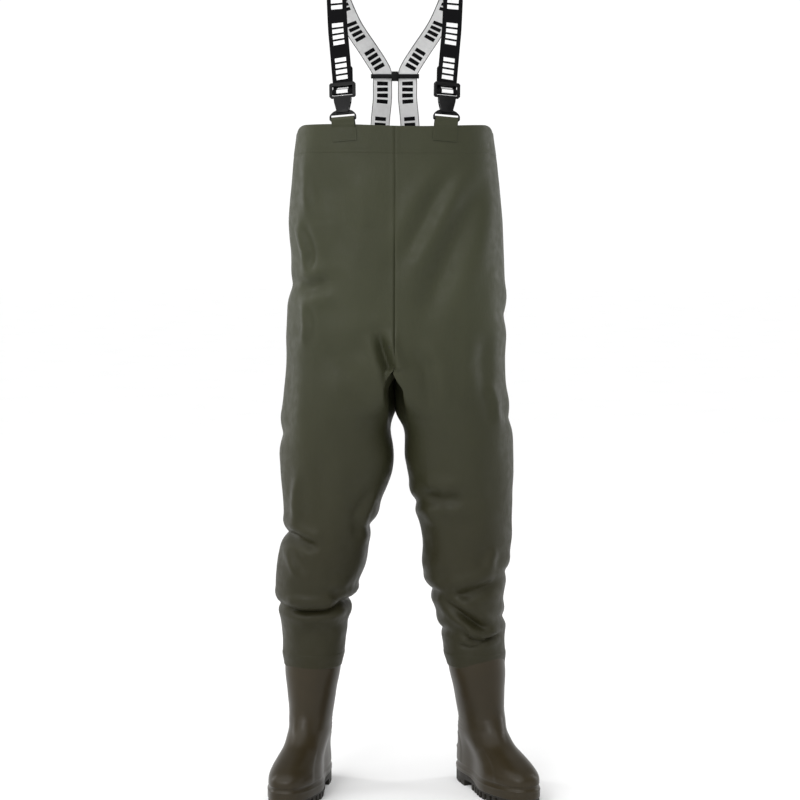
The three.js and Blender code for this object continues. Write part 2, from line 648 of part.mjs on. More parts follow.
// ---------------------------------------------------------------- joiner
// Two slots side by side that hold the straps together behind the back.
const JOINER_BAR = 3; // material round each slot
const joinerSlot = WEBBING_WIDTH + 2.5;
const joinerHalf = JOINER_STRAP_X + joinerSlot / 2 + JOINER_BAR;
const joinerDeep = WEBBING + 2 * 1.4 + 2 * JOINER_BAR;
const joinerPlate = block(2 * joinerHalf, joinerDeep, 9);
const joinerKnot = block(13, joinerDeep + 1, 20);
const joinerSlots = [-1, 1].map((sign) =>
  block(joinerSlot, joinerDeep - 2 * JOINER_BAR, 30, sign * JOINER_STRAP_X),
);
const joiner = cut(join(joinerPlate, joinerKnot), ...joinerSlots);
add("strap_joiner", joiner.translate(0, joinerY, BIB_TOP + JOINER_ABOVE_BIB), BUCKLE_PLASTIC);

// ---------------------------------------------------------------- the origin
const box = new THREE.Box3().setFromObject(waders, true);
const middle = box.getCenter(new THREE.Vector3());
waders.position.set(-middle.x, -middle.y, -box.min.z);

export default waders;
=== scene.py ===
import json
import math

import bpy
import numpy as np
from bpy.props import FloatProperty, FloatVectorProperty, PointerProperty
from mathutils import Euler, Matrix, Vector, noise

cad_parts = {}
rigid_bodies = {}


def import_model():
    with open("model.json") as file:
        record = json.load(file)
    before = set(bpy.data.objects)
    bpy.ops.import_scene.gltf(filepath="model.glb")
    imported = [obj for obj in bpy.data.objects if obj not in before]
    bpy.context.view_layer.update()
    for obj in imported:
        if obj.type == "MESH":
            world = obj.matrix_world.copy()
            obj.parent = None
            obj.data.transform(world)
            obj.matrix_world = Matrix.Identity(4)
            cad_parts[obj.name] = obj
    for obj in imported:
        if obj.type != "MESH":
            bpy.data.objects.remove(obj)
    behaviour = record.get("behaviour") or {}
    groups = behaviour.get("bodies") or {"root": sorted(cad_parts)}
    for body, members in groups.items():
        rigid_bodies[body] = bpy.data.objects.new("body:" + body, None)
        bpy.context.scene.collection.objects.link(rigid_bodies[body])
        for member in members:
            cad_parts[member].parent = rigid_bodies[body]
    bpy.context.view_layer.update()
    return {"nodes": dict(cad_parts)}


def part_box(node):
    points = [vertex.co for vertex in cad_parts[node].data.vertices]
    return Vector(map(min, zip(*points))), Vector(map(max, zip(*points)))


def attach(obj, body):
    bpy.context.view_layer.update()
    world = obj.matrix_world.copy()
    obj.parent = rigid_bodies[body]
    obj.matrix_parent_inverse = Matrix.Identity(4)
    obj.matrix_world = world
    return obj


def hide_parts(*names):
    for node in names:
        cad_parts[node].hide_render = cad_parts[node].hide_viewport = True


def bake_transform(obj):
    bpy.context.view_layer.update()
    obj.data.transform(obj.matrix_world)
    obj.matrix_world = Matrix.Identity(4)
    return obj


bl_info = {
    "name": "Chest waders",
    "version": (1, 0, 0),
    "blender": (4, 5, 0),
    "location": "3D View > Sidebar > Waders",
    "description": "Builds a pair of chest waders round their packed frame",
    "category": "Object",
}

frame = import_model()

MM = 0.001
SIDES = {"right": -1, "left": 1}
hem_low, hem_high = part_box("top_hem")
MIDDLE_X = (hem_low.x + hem_high.x) / 2
MIDDLE_Y = (hem_low.y + hem_high.y) / 2
BIB_TOP = hem_high.z
HEM_LOW = hem_low.z
LEG_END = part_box("right_shin_sleeve")[0].z
HIP = 775 * MM
KNEE = 500 * MM
CROTCH = 890 * MM
MID_THIGH = 620 * MM  # where each leg's mesh is parted, between its two joints
HIP_EASE, KNEE_EASE = 0.085, 0.075  # how far above and below its joint the span handed to bend reaches

# The boots, in millimetres, and in degrees for the toes.
ANKLE_OUT = {"right": 176, "left": 181}
TOES_OUT = {"right": 14, "left": 26}
SHAFT_LEAN = {"right": 0.04, "left": 0.1}  # how much nearer the middle a shaft gets for each step up
LEAN_FROM = 150
BOOT_Y = 18
SOLE_TOP = 30
SHAFT_TOP = 302
SHAFT_WALL = 3.5
SHAFT_ROOM = (64, 66.5)  # half width and half depth of the fabric where it ends round a shaft
LAST_SECTION = 3.5  # how far the fabric's last section lies below its end

# Cross-sections of the fabric in millimetres: height, centre from the middle plane, half width, half
# depth, the centre's y and the squareness of the oval.
TORSO_SECTIONS = {
    "right": [
        (1385, 0, 199, 135, 0, 3.0),
        (1300, 0, 208, 139, 0, 2.9),
        (1200, 0, 216, 142, 0, 2.8),
        (1150, 0, 214, 143, 0, 2.75),
        (1095, 0, 207, 144, 0, 2.7),
        (1040, 0, 213, 145, 0, 2.65),
        (960, 0, 221, 146, 0, 2.6),
        (890, 8, 216, 145, 0, 2.5),
    ],
    "left": [
        (1385, 0, 199, 135, 0, 3.0),
        (1300, 0, 209, 139, 0, 2.9),
        (1200, 0, 221, 142, 0, 2.8),
        (1090, 0, 227, 144, 0, 2.7),
        (960, 0, 231, 146, 0, 2.6),
        (890, 8, 221, 145, 0, 2.5),
    ],
}
LEG_SECTIONS = {
    "right": [
        (830, 76, 154, 136, 0, 2.4),
        (780, 118, 115, 127, 0, 2.3),
        (690, 118, 119, 118, 0, 2.2),
        (600, 130, 100, 104, 2, 2.2),
        (540, 138, 88, 96, 4, 2.2),
        (470, 154, 93, 95, 8, 2.2),
        (402, 168, 77, 86, 12, 2.2),
        (333, 169, 67, 76, 16, 2.1),
    ],
    "left": [
        (830, 76, 156, 136, 0, 2.4),
        (780, 123, 116, 127, 0, 2.3),
        (690, 133, 111, 118, 0, 2.2),
        (600, 141, 101, 104, 2, 2.2),
        (540, 147, 93, 97, 4, 2.2),
        (470, 145, 89, 94, 8, 2.2),
        (400, 152, 75, 86, 12, 2.2),
        (333, 161, 67, 76, 16, 2.1),
    ],
}
# Cross-sections of a boot upper: height, toe end, heel end, half width, share of the shaft's oval.
BOOT_SECTIONS = [
    (SOLE_TOP, -206, 78, 51, 0),
    (46, -209, 80, 53.5, 0),
    (60, -205, 80, 52.5, 0),
    (72, -189, 79, 49.5, 0.1),
    (85, -158, 78, 46, 0.3),
    (100, -117, 76, 43.5, 0.6),
    (118, -90, 72, 43.5, 0.85),
    (150, -68, 66, 44, 1),
    (200, -62, 63, 50, 1),
    (250, -60, 60, 56, 1),
    (SHAFT_TOP, -60, 60, 57, 1),
]
# Folds pressed into the fabric, in millimetres from the middle of the bib: the face they lie on, the
# path (across, up), half width, depth (negative for a ridge), and how far the upper lip hangs over.
FOLDS = [
    ("front", [(140, 1330), (106, 1274), (70, 1206), (38, 1142), (14, 1092)], 19, 9, 0),
    ("front", [(184, 1290), (154, 1215), (116, 1130), (82, 1050), (54, 975)], 27, 11, 0),
    ("front", [(-186, 1323), (-180, 1270), (-176, 1200)], 9, -5, 0),
    ("front", [(-120, 1310), (-104, 1180), (-112, 1090)], 26, 4, 0),
    ("front", [(-197, 1180), (-180, 1120), (-178, 1075)], 8, -8, 0),
    ("front", [(-206, 1046), (-170, 1050), (-124, 1066)], 15, 11, 0),
    ("front", [(-184, 1020), (-180, 975), (-184, 930)], 8, -5, 0),
    ("front", [(-34, 965), (-24, 925), (-12, 890), (0, 840)], 11, 17, 0),
    ("front", [(30, 930), (64, 890), (72, 790)], 16, 7, 0),
    ("front", [(-34, 930), (-92, 915), (-150, 905)], 26, 4, 0),
    ("front", [(-120, 905), (-80, 860), (-44, 800)], 22, 5, 0),
    ("front", [(190, 860), (206, 820), (212, 770)], 10, -6, 0),
    ("front", [(186, 960), (178, 900), (190, 830)], 16, 5, 0),
    ("front", [(-199, 668), (-204, 610), (-203, 556)], 9, -7, 0),
    ("front", [(-150, 720), (-150, 640), (-152, 560)], 22, 5, 0),
    ("front", [(-30, 640), (-60, 585), (-58, 515)], 10, -7, 0),
    ("front", [(-236, 541), (-214, 538), (-176, 526), (-150, 518)], 11, 10, 2),
    ("front", [(-228, 524), (-212, 490), (-198, 455)], 10, -7, 0),
    ("front", [(-232, 391), (-180, 387), (-140, 389), (-92, 400)], 9, 14, 8),
    ("front", [(-72, 430), (-100, 414), (-140, 420)], 12, 9, 2),
    ("front", [(-205, 332), (-160, 340), (-112, 332)], 18, 5, 2),
    ("front", [(40, 628), (96, 620), (148, 624)], 15, 10, 2),
    ("front", [(48, 604), (70, 590), (76, 560)], 12, -5, 0),
    ("front", [(206, 520), (196, 490), (190, 470)], 10, -5, 0),
    ("front", [(104, 412), (150, 424), (222, 448)], 13, 10, 3),
    ("front", [(92, 408), (130, 386), (164, 360), (196, 340)], 10, 11, 3),
    ("front", [(118, 372), (150, 354), (172, 340)], 9, -4, 0),
    ("front", [(142, 327), (180, 323), (220, 330)], 7, 12, 6),
    ("front", [(128, 313), (154, 308), (184, 312)], 6, 10, 5),
    ("back", [(-120, 1330), (-86, 1180), (-70, 1050)], 20, 8, 0),
    ("back", [(118, 1320), (96, 1200), (104, 1090)], 18, 7, 0),
    ("back", [(-160, 930), (-90, 905), (-20, 925)], 17, 10, 4),
    ("back", [(20, 925), (96, 900), (168, 926)], 17, 10, 4),
    ("back", [(-150, 870), (-100, 850), (-40, 862)], 14, 9, 3),
    ("back", [(44, 864), (110, 846), (160, 862)], 14, 9, 3),
    ("back", [(-200, 545), (-150, 530), (-92, 540)], 12, 11, 4),
    ("back", [(-215, 500), (-160, 488), (-104, 500)], 12, 11, 4),
    ("back", [(-222, 452), (-170, 444), (-110, 458)], 12, 10, 4),
    ("back", [(86, 540), (140, 528), (206, 545)], 12, 11, 4),
    ("back", [(80, 492), (140, 484), (206, 498)], 12, 11, 4),
    ("back", [(92, 446), (150, 436), (204, 450)], 12, 9, 3),
    ("right", [(-110, 1080), (-30, 1050), (60, 1070)], 20, 9, 2),
    ("right", [(-90, 770), (-10, 745), (80, 765)], 18, 8, 3),
    ("right", [(-90, 548), (0, 540), (80, 548)], 12, 14, 4),
    ("right", [(-60, 398), (20, 392), (80, 402)], 10, 10, 5),
    ("right_inside", [(-80, 404), (0, 400), (70, 406)], 9, 10, 4),
    ("right_inside", [(-80, 372), (0, 370), (70, 374)], 12, -4, 0),
    ("right_inside", [(-90, 560), (0, 556), (80, 562)], 14, 6, 2),
    ("left_inside", [(-90, 612), (0, 606), (80, 612)], 13, 6, 2),
    ("left_inside", [(-80, 424), (0, 420), (70, 426)], 11, 7, 3),
    ("left_inside", [(-70, 340), (0, 336), (70, 342)], 10, 5, 2),
    ("left", [(-90, 1010), (0, 985), (90, 1002)], 20, 8, 2),
    ("left", [(-100, 800), (0, 776), (84, 800)], 18, 8, 3),
    ("left", [(-60, 470), (20, 456), (80, 470)], 12, 8, 3),
    ("left", [(-50, 372), (20, 360), (76, 374)], 10, 8, 3),
]


# ---------------------------------------------------------------- small tools
def smoothstep(value, low, high):
    t = np.clip((value - low) / (high - low), 0, 1)
    return t * t * (3 - 2 * t)


def signed_power(value, exponent):
    return np.sign(value) * np.abs(value) ** exponent


def unit(vectors):
    return vectors / np.maximum(np.linalg.norm(vectors, axis=-1, keepdims=True), 1e-12)


def grid_faces(index, flip=False):
    """Quads over a grid of vertex numbers."""
    a, b = index[:-1, :-1].ravel(), index[:-1, 1:].ravel()
    c, d = index[1:, 1:].ravel(), index[1:, :-1].ravel()
    return np.stack([a, d, c, b] if flip else [a, b, c, d], axis=1)


def quad_normals(points, quads):
    a, b, c, d = (points[quads[:, k]] for k in range(4))
    return unit(np.cross(c - a, d - b))


def point_normals(points, quads):
    a, b, c, d = (points[quads[:, k]] for k in range(4))
    across = np.cross(c - a, d - b)
    total = np.zeros_like(points)
    for k in range(4):
        np.add.at(total, quads[:, k], across)
    return unit(total)


def deselect():
    for obj in bpy.context.view_layer.objects:
        obj.select_set(False)


def activate(obj):
    deselect()
    obj.select_set(True)
    bpy.context.view_layer.objects.active = obj


def bevelled(obj, width, segments, degrees):
    """Rounds the edges that are sharper than an angle."""
    activate(obj)
    modifier = obj.modifiers.new("Bevel", "BEVEL")
    modifier.width = width
    modifier.segments = segments
    modifier.limit_method = "ANGLE"
    modifier.angle_limit = math.radians(degrees)
    bpy.ops.object.modifier_apply(modifier=modifier.name)


def new_piece(name, points, faces, materials):
    mesh = bpy.data.meshes.new(name)
    mesh.from_pydata(points.tolist(), [], faces)
    obj = bpy.data.objects.new(name, mesh)
    bpy.context.scene.collection.objects.link(obj)
    for material in materials:
        mesh.materials.append(material)
    return obj


def solid_sheet(name, points, quads, normals, outside, inside, materials, uv=None):
    """A closed sheet: the points moved out and in along their normals, and walls round its edges.
    The outer face takes the first material, and the inner face the last."""
    count = len(points)
    edges = [(quad[k], quad[(k + 1) % 4]) for quad in quads.tolist() for k in range(4)]
    known = set(edges)
    rims = [(b, a, a + count, b + count) for a, b in edges if (b, a) not in known]
    rims = np.array(rims, int).reshape(-1, 4)
    verts = np.vstack([points + normals * outside, points - normals * inside])
    inner = quads[:, ::-1] + count
    faces = np.vstack([quads, inner, rims])
    obj = new_piece(name, verts, faces.tolist(), materials)
    mesh = obj.data
    mesh.polygons.foreach_set("use_smooth", np.ones(len(faces), bool))
    slots = np.zeros(len(faces), np.int32)
    slots[len(quads) : 2 * len(quads)] = len(materials) - 1
    mesh.polygons.foreach_set("material_index", slots)
    loops = np.vstack(
        [
            normals[quads.ravel()],
            -normals[quads[:, ::-1].ravel()],
            np.repeat(quad_normals(verts, rims), 4, axis=0),
        ]
    )
    if uv is not None:
        layer = mesh.uv_layers.new(name="UVMap")
        layer.data.foreach_set("uv", uv[faces.ravel() % count].astype(np.float32).ravel())
    mesh.normals_split_custom_set(loops.tolist())
    mesh.update()
    return obj


def loft(name, rings, materials, cap=True):
    """A closed body through rings with the same number of points. Its ends are closed by fans, or
    joined to each other."""
    rings = np.asarray(rings)
    rows, columns = rings.shape[:2]
    points = rings.reshape(-1, 3)
    index = np.arange(rows * columns).reshape(rows, columns)
    faces = grid_faces(np.hstack([index, index[:, :1]])).tolist()
    if cap:
        for row, turned in ((0, True), (rows - 1, False)):
            middle = len(points)
            points = np.vstack([points, rings[row].mean(axis=0)])
            ring = index[row].tolist()
            for a, b in zip(ring, ring[1:] + ring[:1]):
                faces.append((middle, b, a) if turned else (middle, a, b))
    else:
        faces += grid_faces(np.vstack([index[-1], index[0]])[:, list(range(columns)) + [0]]).tolist()
    obj = new_piece(name, points, faces, materials)
    outward(obj)
    return obj


def outward(obj):
    """Turns the faces of a closed body outwards."""
    activate(obj)
    bpy.ops.object.mode_set(mode="EDIT")
    bpy.ops.mesh.select_all(action="SELECT")
    bpy.ops.mesh.normals_make_consistent(inside=False)
    bpy.ops.object.mode_set(mode="OBJECT")


def smooth_by_angle(obj, degrees):
    activate(obj)
    bpy.ops.object.shade_smooth_by_angle(angle=math.radians(degrees))


def settle(obj, body, slot, *nodes):
    """Puts a finished piece on its body, in place of the named nodes."""
    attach(obj, body)
    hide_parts(*nodes)


def bend(obj, bodies, start, end, slot, *nodes):
    """Bakes a finished piece's placement into its mesh and hides the named nodes, in place of which it
    stands.
    """
    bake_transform(obj)
    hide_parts(*nodes)


# ---------------------------------------------------------------- finishes
SOCKETS = {"specular_ior_level": "Specular IOR Level"}


class Finish:
    """A material under construction."""

    def __init__(self, name, colour, roughness):
        self.material = bpy.data.materials.new(name)
        self.material.use_nodes = True
        self.tree = self.material.node_tree
        self.shader = self.tree.nodes["Principled BSDF"]
        self.shader.inputs["Base Color"].default_value = (*colour, 1)
        self.shader.inputs["Roughness"].default_value = roughness
        self.coordinates = self.tree.nodes.new("ShaderNodeTexCoord")

    def node(self, kind, inputs=(), **settings):
        made = self.tree.nodes.new("ShaderNode" + kind)
        for key, value in settings.items():
            setattr(made, key, value)
        for key, value in dict(inputs).items():
            if isinstance(value, bpy.types.NodeSocket):
                self.tree.links.new(value, made.inputs[key])
            else:
                made.inputs[key].default_value = value
        return made

    def maths(self, operation, a, b=0.0, c=0.0):
        return self.node("Math", {0: a, 1: b, 2: c}, operation=operation).outputs[0]

    def stretched(self, source, scale):
        return self.node("Mapping", {"Vector": source, "Scale": scale}).outputs[0]

    def noise(self, scale, detail=2.0, stretch=(1, 1, 1)):
        at = self.stretched(self.coordinates.outputs["Object"], stretch)
        found = self.node("TexNoise", {"Vector": at, "Scale": scale, "Detail": detail})
        return found.outputs["Fac"]

    def between(self, value, low, high, from_low=0.35, from_high=0.65):
        inputs = {"Value": value, "From Min": from_low, "From Max": from_high, "To Min": low, "To Max": high}
        return self.node("MapRange", inputs).outputs[0]

    def mixed(self, share, a, b, blend_type="MIX"):
        a, b = ((*value, 1) if isinstance(value, tuple) else value for value in (a, b))
        return self.node("Mix", {0: share, 6: a, 7: b}, data_type="RGBA", blend_type=blend_type).outputs[2]

    def bumped(self, height, distance, strength=1.0, under=None):
        inputs = {"Height": height, "Distance": distance, "Strength": strength}
        if under is not None:
            inputs["Normal"] = under
        return self.node("Bump", inputs).outputs[0]

    def wire(self, **sockets):
        for key, value in sockets.items():
            self.tree.links.new(value, self.shader.inputs[key.replace("_", " ").title()])

    def set(self, **sockets):
        for key, value in sockets.items():
            self.shader.inputs[SOCKETS.get(key, key.replace("_", " ").title())].default_value = value


def shade(colour, factor):
    return tuple(min(1.0, c * factor) for c in colour)


PAINTED_SHADE_BELOW, PAINTED_SHADE_ABOVE = 0.5, 1.0  # heights between which the legs' painted shade fades out, full below the lower one
# the tone multiplied into the fabric as painted shade, darker and browner low on the legs
PAINTED_SHADE_TONE = (0.6, 0.52, 0.42)


def coated_fabric(colour, name="coated_fabric"):
    """Olive nylon under a satin coating: close weave, cloudy colour, rubbed patches, painted shade low on the
    legs.
    """
    f = Finish(name, colour, 0.5)
    cloud = f.noise(5.5, 3.0)
    fine = f.noise(60, 3.0)
    tone = f.mixed(f.between(cloud, 0, 1), shade(colour, 0.93), shade(colour, 1.06))
    tone = f.mixed(f.between(fine, 0, 0.25, 0.5, 0.75), tone, shade(colour, 1.18))
    # Painted shade: the tone darkens and browns towards the bottom of the legs, standing in for light falling
    # off downward.
    height = f.node("SeparateXYZ", {"Vector": f.coordinates.outputs["Object"]}).outputs[2]
    painted_shade = f.between(height, 1, 0, PAINTED_SHADE_BELOW, PAINTED_SHADE_ABOVE)
    tone = f.mixed(painted_shade, tone, PAINTED_SHADE_TONE, "MULTIPLY")
    weave = f.node("TexVoronoi", {"Vector": f.coordinates.outputs["Object"], "Scale": 520.0})
    puckers = f.noise(34, 3.0, (1, 1, 0.45))
    normal = f.bumped(puckers, 0.0016, 0.5)
    normal = f.bumped(weave.outputs["Distance"], 0.00025, 0.35, normal)
    f.wire(base_color=tone, roughness=f.between(fine, 0.46, 0.58), normal=normal)
    f.set(specular_ior_level=0.2)
    return f.material


def boot_pvc(colour):
    """Satin moulded PVC with a faint orange-peel skin and dull scuffs."""
    f = Finish("boot_pvc", colour, 0.36)
    cloud = f.noise(9, 3.0)
    scuff = f.noise(30, 4.0)
    peel = f.noise(210, 2.0)
    tone = f.mixed(f.between(cloud, 0, 1), shade(colour, 0.9), shade(colour, 1.1))
    tone = f.mixed(f.between(scuff, 0, 0.25, 0.55, 0.8), tone, shade(colour, 1.35))
    f.wire(
        base_color=tone,
        roughness=f.between(scuff, 0.34, 0.4, 0.4, 0.75),
        normal=f.bumped(peel, 0.0003, 0.15),
    )
    f.set(specular_ior_level=0.22)
    return f.material


def sole_pvc(colour):
    """Dull PVC, rubbed pale along its tread."""
    f = Finish("sole_pvc", colour, 0.55)
    scuff = f.noise(50, 5.0)
    grain = f.noise(420, 2.0)
    tone = f.mixed(f.between(scuff, 0, 0.6, 0.45, 0.75), colour, shade(colour, 1.8))
    f.wire(base_color=tone, roughness=f.between(scuff, 0.5, 0.7), normal=f.bumped(grain, 0.0005, 0.4))
    f.set(specular_ior_level=0.25)
    return f.material


def insole_felt(colour):
    """Pressed felt with loose fibres."""
    f = Finish("insole_felt", colour, 0.95)
    fibres = f.noise(300, 6.0, (1, 0.25, 1))
    tone = f.mixed(f.between(fibres, 0, 1), shade(colour, 0.7), shade(colour, 1.2))
    f.wire(base_color=tone, normal=f.bumped(fibres, 0.0012, 0.6))
    f.set(sheen_weight=0.4)
    return f.material


def buckle_plastic(colour):
    """Black moulded plastic with a spark-eroded grain and rubbed edges."""
    f = Finish("buckle_plastic", colour, 0.35)
    grain = f.noise(1400, 2.0)
    rub = f.noise(90, 4.0)
    tone = f.mixed(f.between(rub, 0, 0.5, 0.5, 0.8), colour, shade(colour, 2.2))
    f.wire(base_color=tone, roughness=f.between(rub, 0.32, 0.46), normal=f.bumped(grain, 0.00018, 0.5))
    f.set(specular_ior_level=0.14)
    return f.material


RIB_STEP, PICK_STEP = 0.0016, 0.0011
LADDER_STEP = 0.074  # from one woven ladder to the next
LADDER_HALF = 0.0115
BAR_STEP, BAR_GAP, BARS = 0.0125, 0.0042, 4
WEBBING_MIDDLE, SELVAGE_FROM = 0.02, 0.0186


def webbing(name, ground, mark, selvage):
    """Woven elastic: ribs along it, picks across it, dark selvage lines, and a woven ladder of four
    straight bars that repeats. It reads the piece's UV map, metres across and along."""
    f = Finish(name, ground, 0.8)
    place = f.node("SeparateXYZ", {"Vector": f.coordinates.outputs["UV"]})
    across, along = place.outputs[0], place.outputs[1]
    ribs = f.maths("SINE", f.maths("MULTIPLY", across, 2 * math.pi / RIB_STEP))
    picks = f.maths("SINE", f.maths("MULTIPLY", along, 2 * math.pi / PICK_STEP))
    cloth = f.maths("ADD", ribs, f.maths("MULTIPLY", picks, 0.6))
    step = f.maths("WRAP", along, LADDER_STEP, 0.0)
    off_centre = f.maths("ABSOLUTE", f.maths("SUBTRACT", across, WEBBING_MIDDLE))
    bar = f.maths("GREATER_THAN", f.maths("WRAP", step, BAR_STEP, 0.0), BAR_GAP)
    inside = [
        f.maths("LESS_THAN", off_centre, LADDER_HALF),
        f.maths("GREATER_THAN", step, BAR_STEP),
        f.maths("LESS_THAN", step, (BARS + 1) * BAR_STEP),
    ]
    for test in inside:
        bar = f.maths("MULTIPLY", bar, test)
    tone = f.mixed(bar, ground, mark)
    line = f.maths("GREATER_THAN", off_centre, SELVAGE_FROM)
    tone = f.mixed(line, tone, selvage)
    dust = f.noise(120, 4.0)
    tone = f.mixed(f.between(dust, 0, 0.06), tone, selvage)
    f.wire(base_color=tone, normal=f.bumped(cloth, 0.0003, 0.55))
    f.set(specular_ior_level=0.06)
    return f.material


FINISHES = {}


def finish(name):
    """The named finish, made from the colours in the panel when it is first asked for."""
    if name not in FINISHES:
        chosen = bpy.context.scene.waders_colours
        colours = {key: tuple(getattr(chosen, key)) for key in chosen.__annotations__}
        black, mark, back = (colours[key] for key in ("webbing", "webbing_mark", "webbing_back"))
        makers = {
            "coated_fabric": lambda: coated_fabric(colours["fabric"]),
            "fabric_inside": lambda: coated_fabric(colours["lining"], "fabric_inside"),
            "boot_pvc": lambda: boot_pvc(colours["boot"]),
            "sole_pvc": lambda: sole_pvc(colours["sole"]),
            "insole_felt": lambda: insole_felt(colours["insole"]),
            "buckle_plastic": lambda: buckle_plastic(colours["buckle"]),
            "webbing_outside": lambda: webbing("webbing_outside", black, mark, black),
            "webbing_inside": lambda: webbing("webbing_inside", back, black, black),
        }
        FINISHES[name] = makers[name]()
    return FINISHES[name]


# ---------------------------------------------------------------- the fabric's shape
def section_table(side):
    """The listed sections of one half in metres, from the rim down to the boot's shaft."""
    ankle_out = ANKLE_OUT[side] - SHAFT_LEAN[side] * (LEG_END / MM - LEAN_FROM)
    leg_end = (LEG_END / MM - LAST_SECTION, ankle_out, *SHAFT_ROOM, BOOT_Y, 2.0)
    rows = TORSO_SECTIONS[side] + LEG_SECTIONS[side] + [leg_end]
    return np.array(rows) * [MM, MM, MM, MM, MM, 1]


SECTIONS = {side: section_table(side) for side in SIDES}
PATH_SAMPLES = 600
FREE_CORNER = 0.6  # below the crotch, where the front of a leg becomes its inside
LEVEL = 1e-9  # heights nearer than this are the same
# Between the legs: the gap left at the inseam, the wedge that opens at the front of the crotch, the
# heights where it starts and is full, and how softly a leg's round section turns into its flat inside.
INSEAM_GAP, WEDGE_WIDTH = 0.0008, 0.017
WEDGE_FROM, WEDGE_FULL = 0.755, 0.805
INSEAM_SOFT, WEDGE_SOFT = 0.0035, 0.005
# The inner faces of the legs sway together under the crotch, so that they nest without touching.
SWAY, SWAY_WAVE = 0.006, 55
SWAY_FROM, SWAY_FULL = 0.74, 0.8
CLOSE_BY = 0.03
LEAST_GAP = 0.0006
FOLD_LIMITS = (-0.019, 0.010)
CUFF_DRAWN_IN = 0.0036
RIM_HALF = 0.198
OUTSIDE_ROUND, INSIDE_ROUND = 0.66, 0.2  # the way round a half's outside, and round a leg's inside
RIM_DROP, RIM_WAVE = 0.017, 0.0022


def section_at(side, heights):
    """Smooth curves through the listed sections, as columns out, half, deep, y and square."""
    table = SECTIONS[side]
    last = len(table) - 1
    at = np.clip(np.searchsorted(-table[:, 0], -heights, side="right") - 1, 0, last - 1)
    before, start, end, after = (table[np.clip(at + k, 0, last)] for k in (-1, 0, 1, 2))
    span = start[:, :1] - end[:, :1]
    t = np.clip((start[:, :1] - heights[:, None]) / span, 0, 1)
    first = (end - before) / (before[:, :1] - end[:, :1]) * span
    second = (after - start) / (start[:, :1] - after[:, :1]) * span
    found = (
        (2 * t**3 - 3 * t**2 + 1) * start
        + (t**3 - 2 * t**2 + t) * first
        + (3 * t**2 - 2 * t**3) * end
        + (t**3 - t**2) * second
    )
    return [found[:, k : k + 1] for k in range(1, 6)]


def resample(path, shares):
    """Points at shares of the length of a path."""
    steps = np.linalg.norm(np.diff(path, axis=0), axis=1)
    length = np.concatenate([[0], np.cumsum(steps)])
    total = max(length[-1], 1e-9)
    return np.stack([np.interp(shares * total, length, path[:, k]) for k in range(path.shape[1])], axis=1)


def ring_paths(side, heights, outer_shares, inner_shares):
    """For each height, points round the outside from the front to the back, and round the inside of the
    leg from the back to the front, with the way that each point faces."""
    out, half, deep, y, square = section_at(side, heights)
    reach = np.minimum(np.abs(out / half) ** (square / 2), FREE_CORNER)
    corner = np.arccos(-reach)
    below = smoothstep(CROTCH - heights, 0, 0.05)[:, None]
    outer, inner = [], []
    for paths, shares, angles in (
        (outer, outer_shares, corner * np.linspace(-1, 1, PATH_SAMPLES)),
        (inner, inner_shares, corner + (2 * math.pi - 2 * corner) * np.linspace(0, 1, PATH_SAMPLES)),
    ):
        x = out + half * signed_power(np.cos(angles), 2 / square)
        across = deep * signed_power(np.sin(angles), 2 / square)
        wedge = smoothstep(heights, WEDGE_FROM, WEDGE_FULL)[:, None]
        least = below * (INSEAM_GAP + WEDGE_WIDTH * wedge * smoothstep(-across, -0.01, 0.08))
        soft = np.maximum(below * (INSEAM_SOFT + WEDGE_SOFT * wedge), 1e-7)
        x = least + soft * np.logaddexp(0, (x - least) / soft)
        x = np.where(heights[:, None] >= CROTCH - LEVEL, np.maximum(x - soft, 0), x)
        for row in range(len(heights)):
            path = np.stack([x[row], across[row] + y[row]], axis=1)
            paths.append(resample(path, shares))
    outer, inner = np.array(outer), np.array(inner)
    sign = SIDES[side]
    for paths in (outer, inner):
        paths[..., 0] = paths[..., 0] * sign + MIDDLE_X
        paths[..., 1] += MIDDLE_Y
    return outer, inner


def path_distance(points, path):
    """Distance from each point to a path, on which side, and the share of the way along."""
    path = np.array(path, float)
    lengths = np.linalg.norm(np.diff(path, axis=0), axis=1)
    starts = np.concatenate([[0], np.cumsum(lengths)])
    best = np.full(len(points), 1e9)
    upper = np.zeros(len(points))
    share = np.zeros(len(points))
    for k, length in enumerate(lengths):
        along = (path[k + 1] - path[k]) / length
        offset = points - path[k]
        t = np.clip(offset @ along, 0, length)
        away = offset - t[:, None] * along
        distance = np.linalg.norm(away, axis=1)
        nearer = distance < best
        best = np.where(nearer, distance, best)
        normal = np.array([-along[1], along[0]])
        normal = normal if normal[1] >= 0 else -normal
        upper = np.where(nearer, away @ normal, upper)
        share = np.where(nearer, (starts[k] + t) / starts[-1], share)
    return best, np.sign(upper), share


def cloud(points, scale, seed):
    """Smooth noise at points stretched by a scale for each axis."""
    scaled = points * np.array(scale) + seed
    return np.array([noise.noise(Vector(p)) for p in scaled])


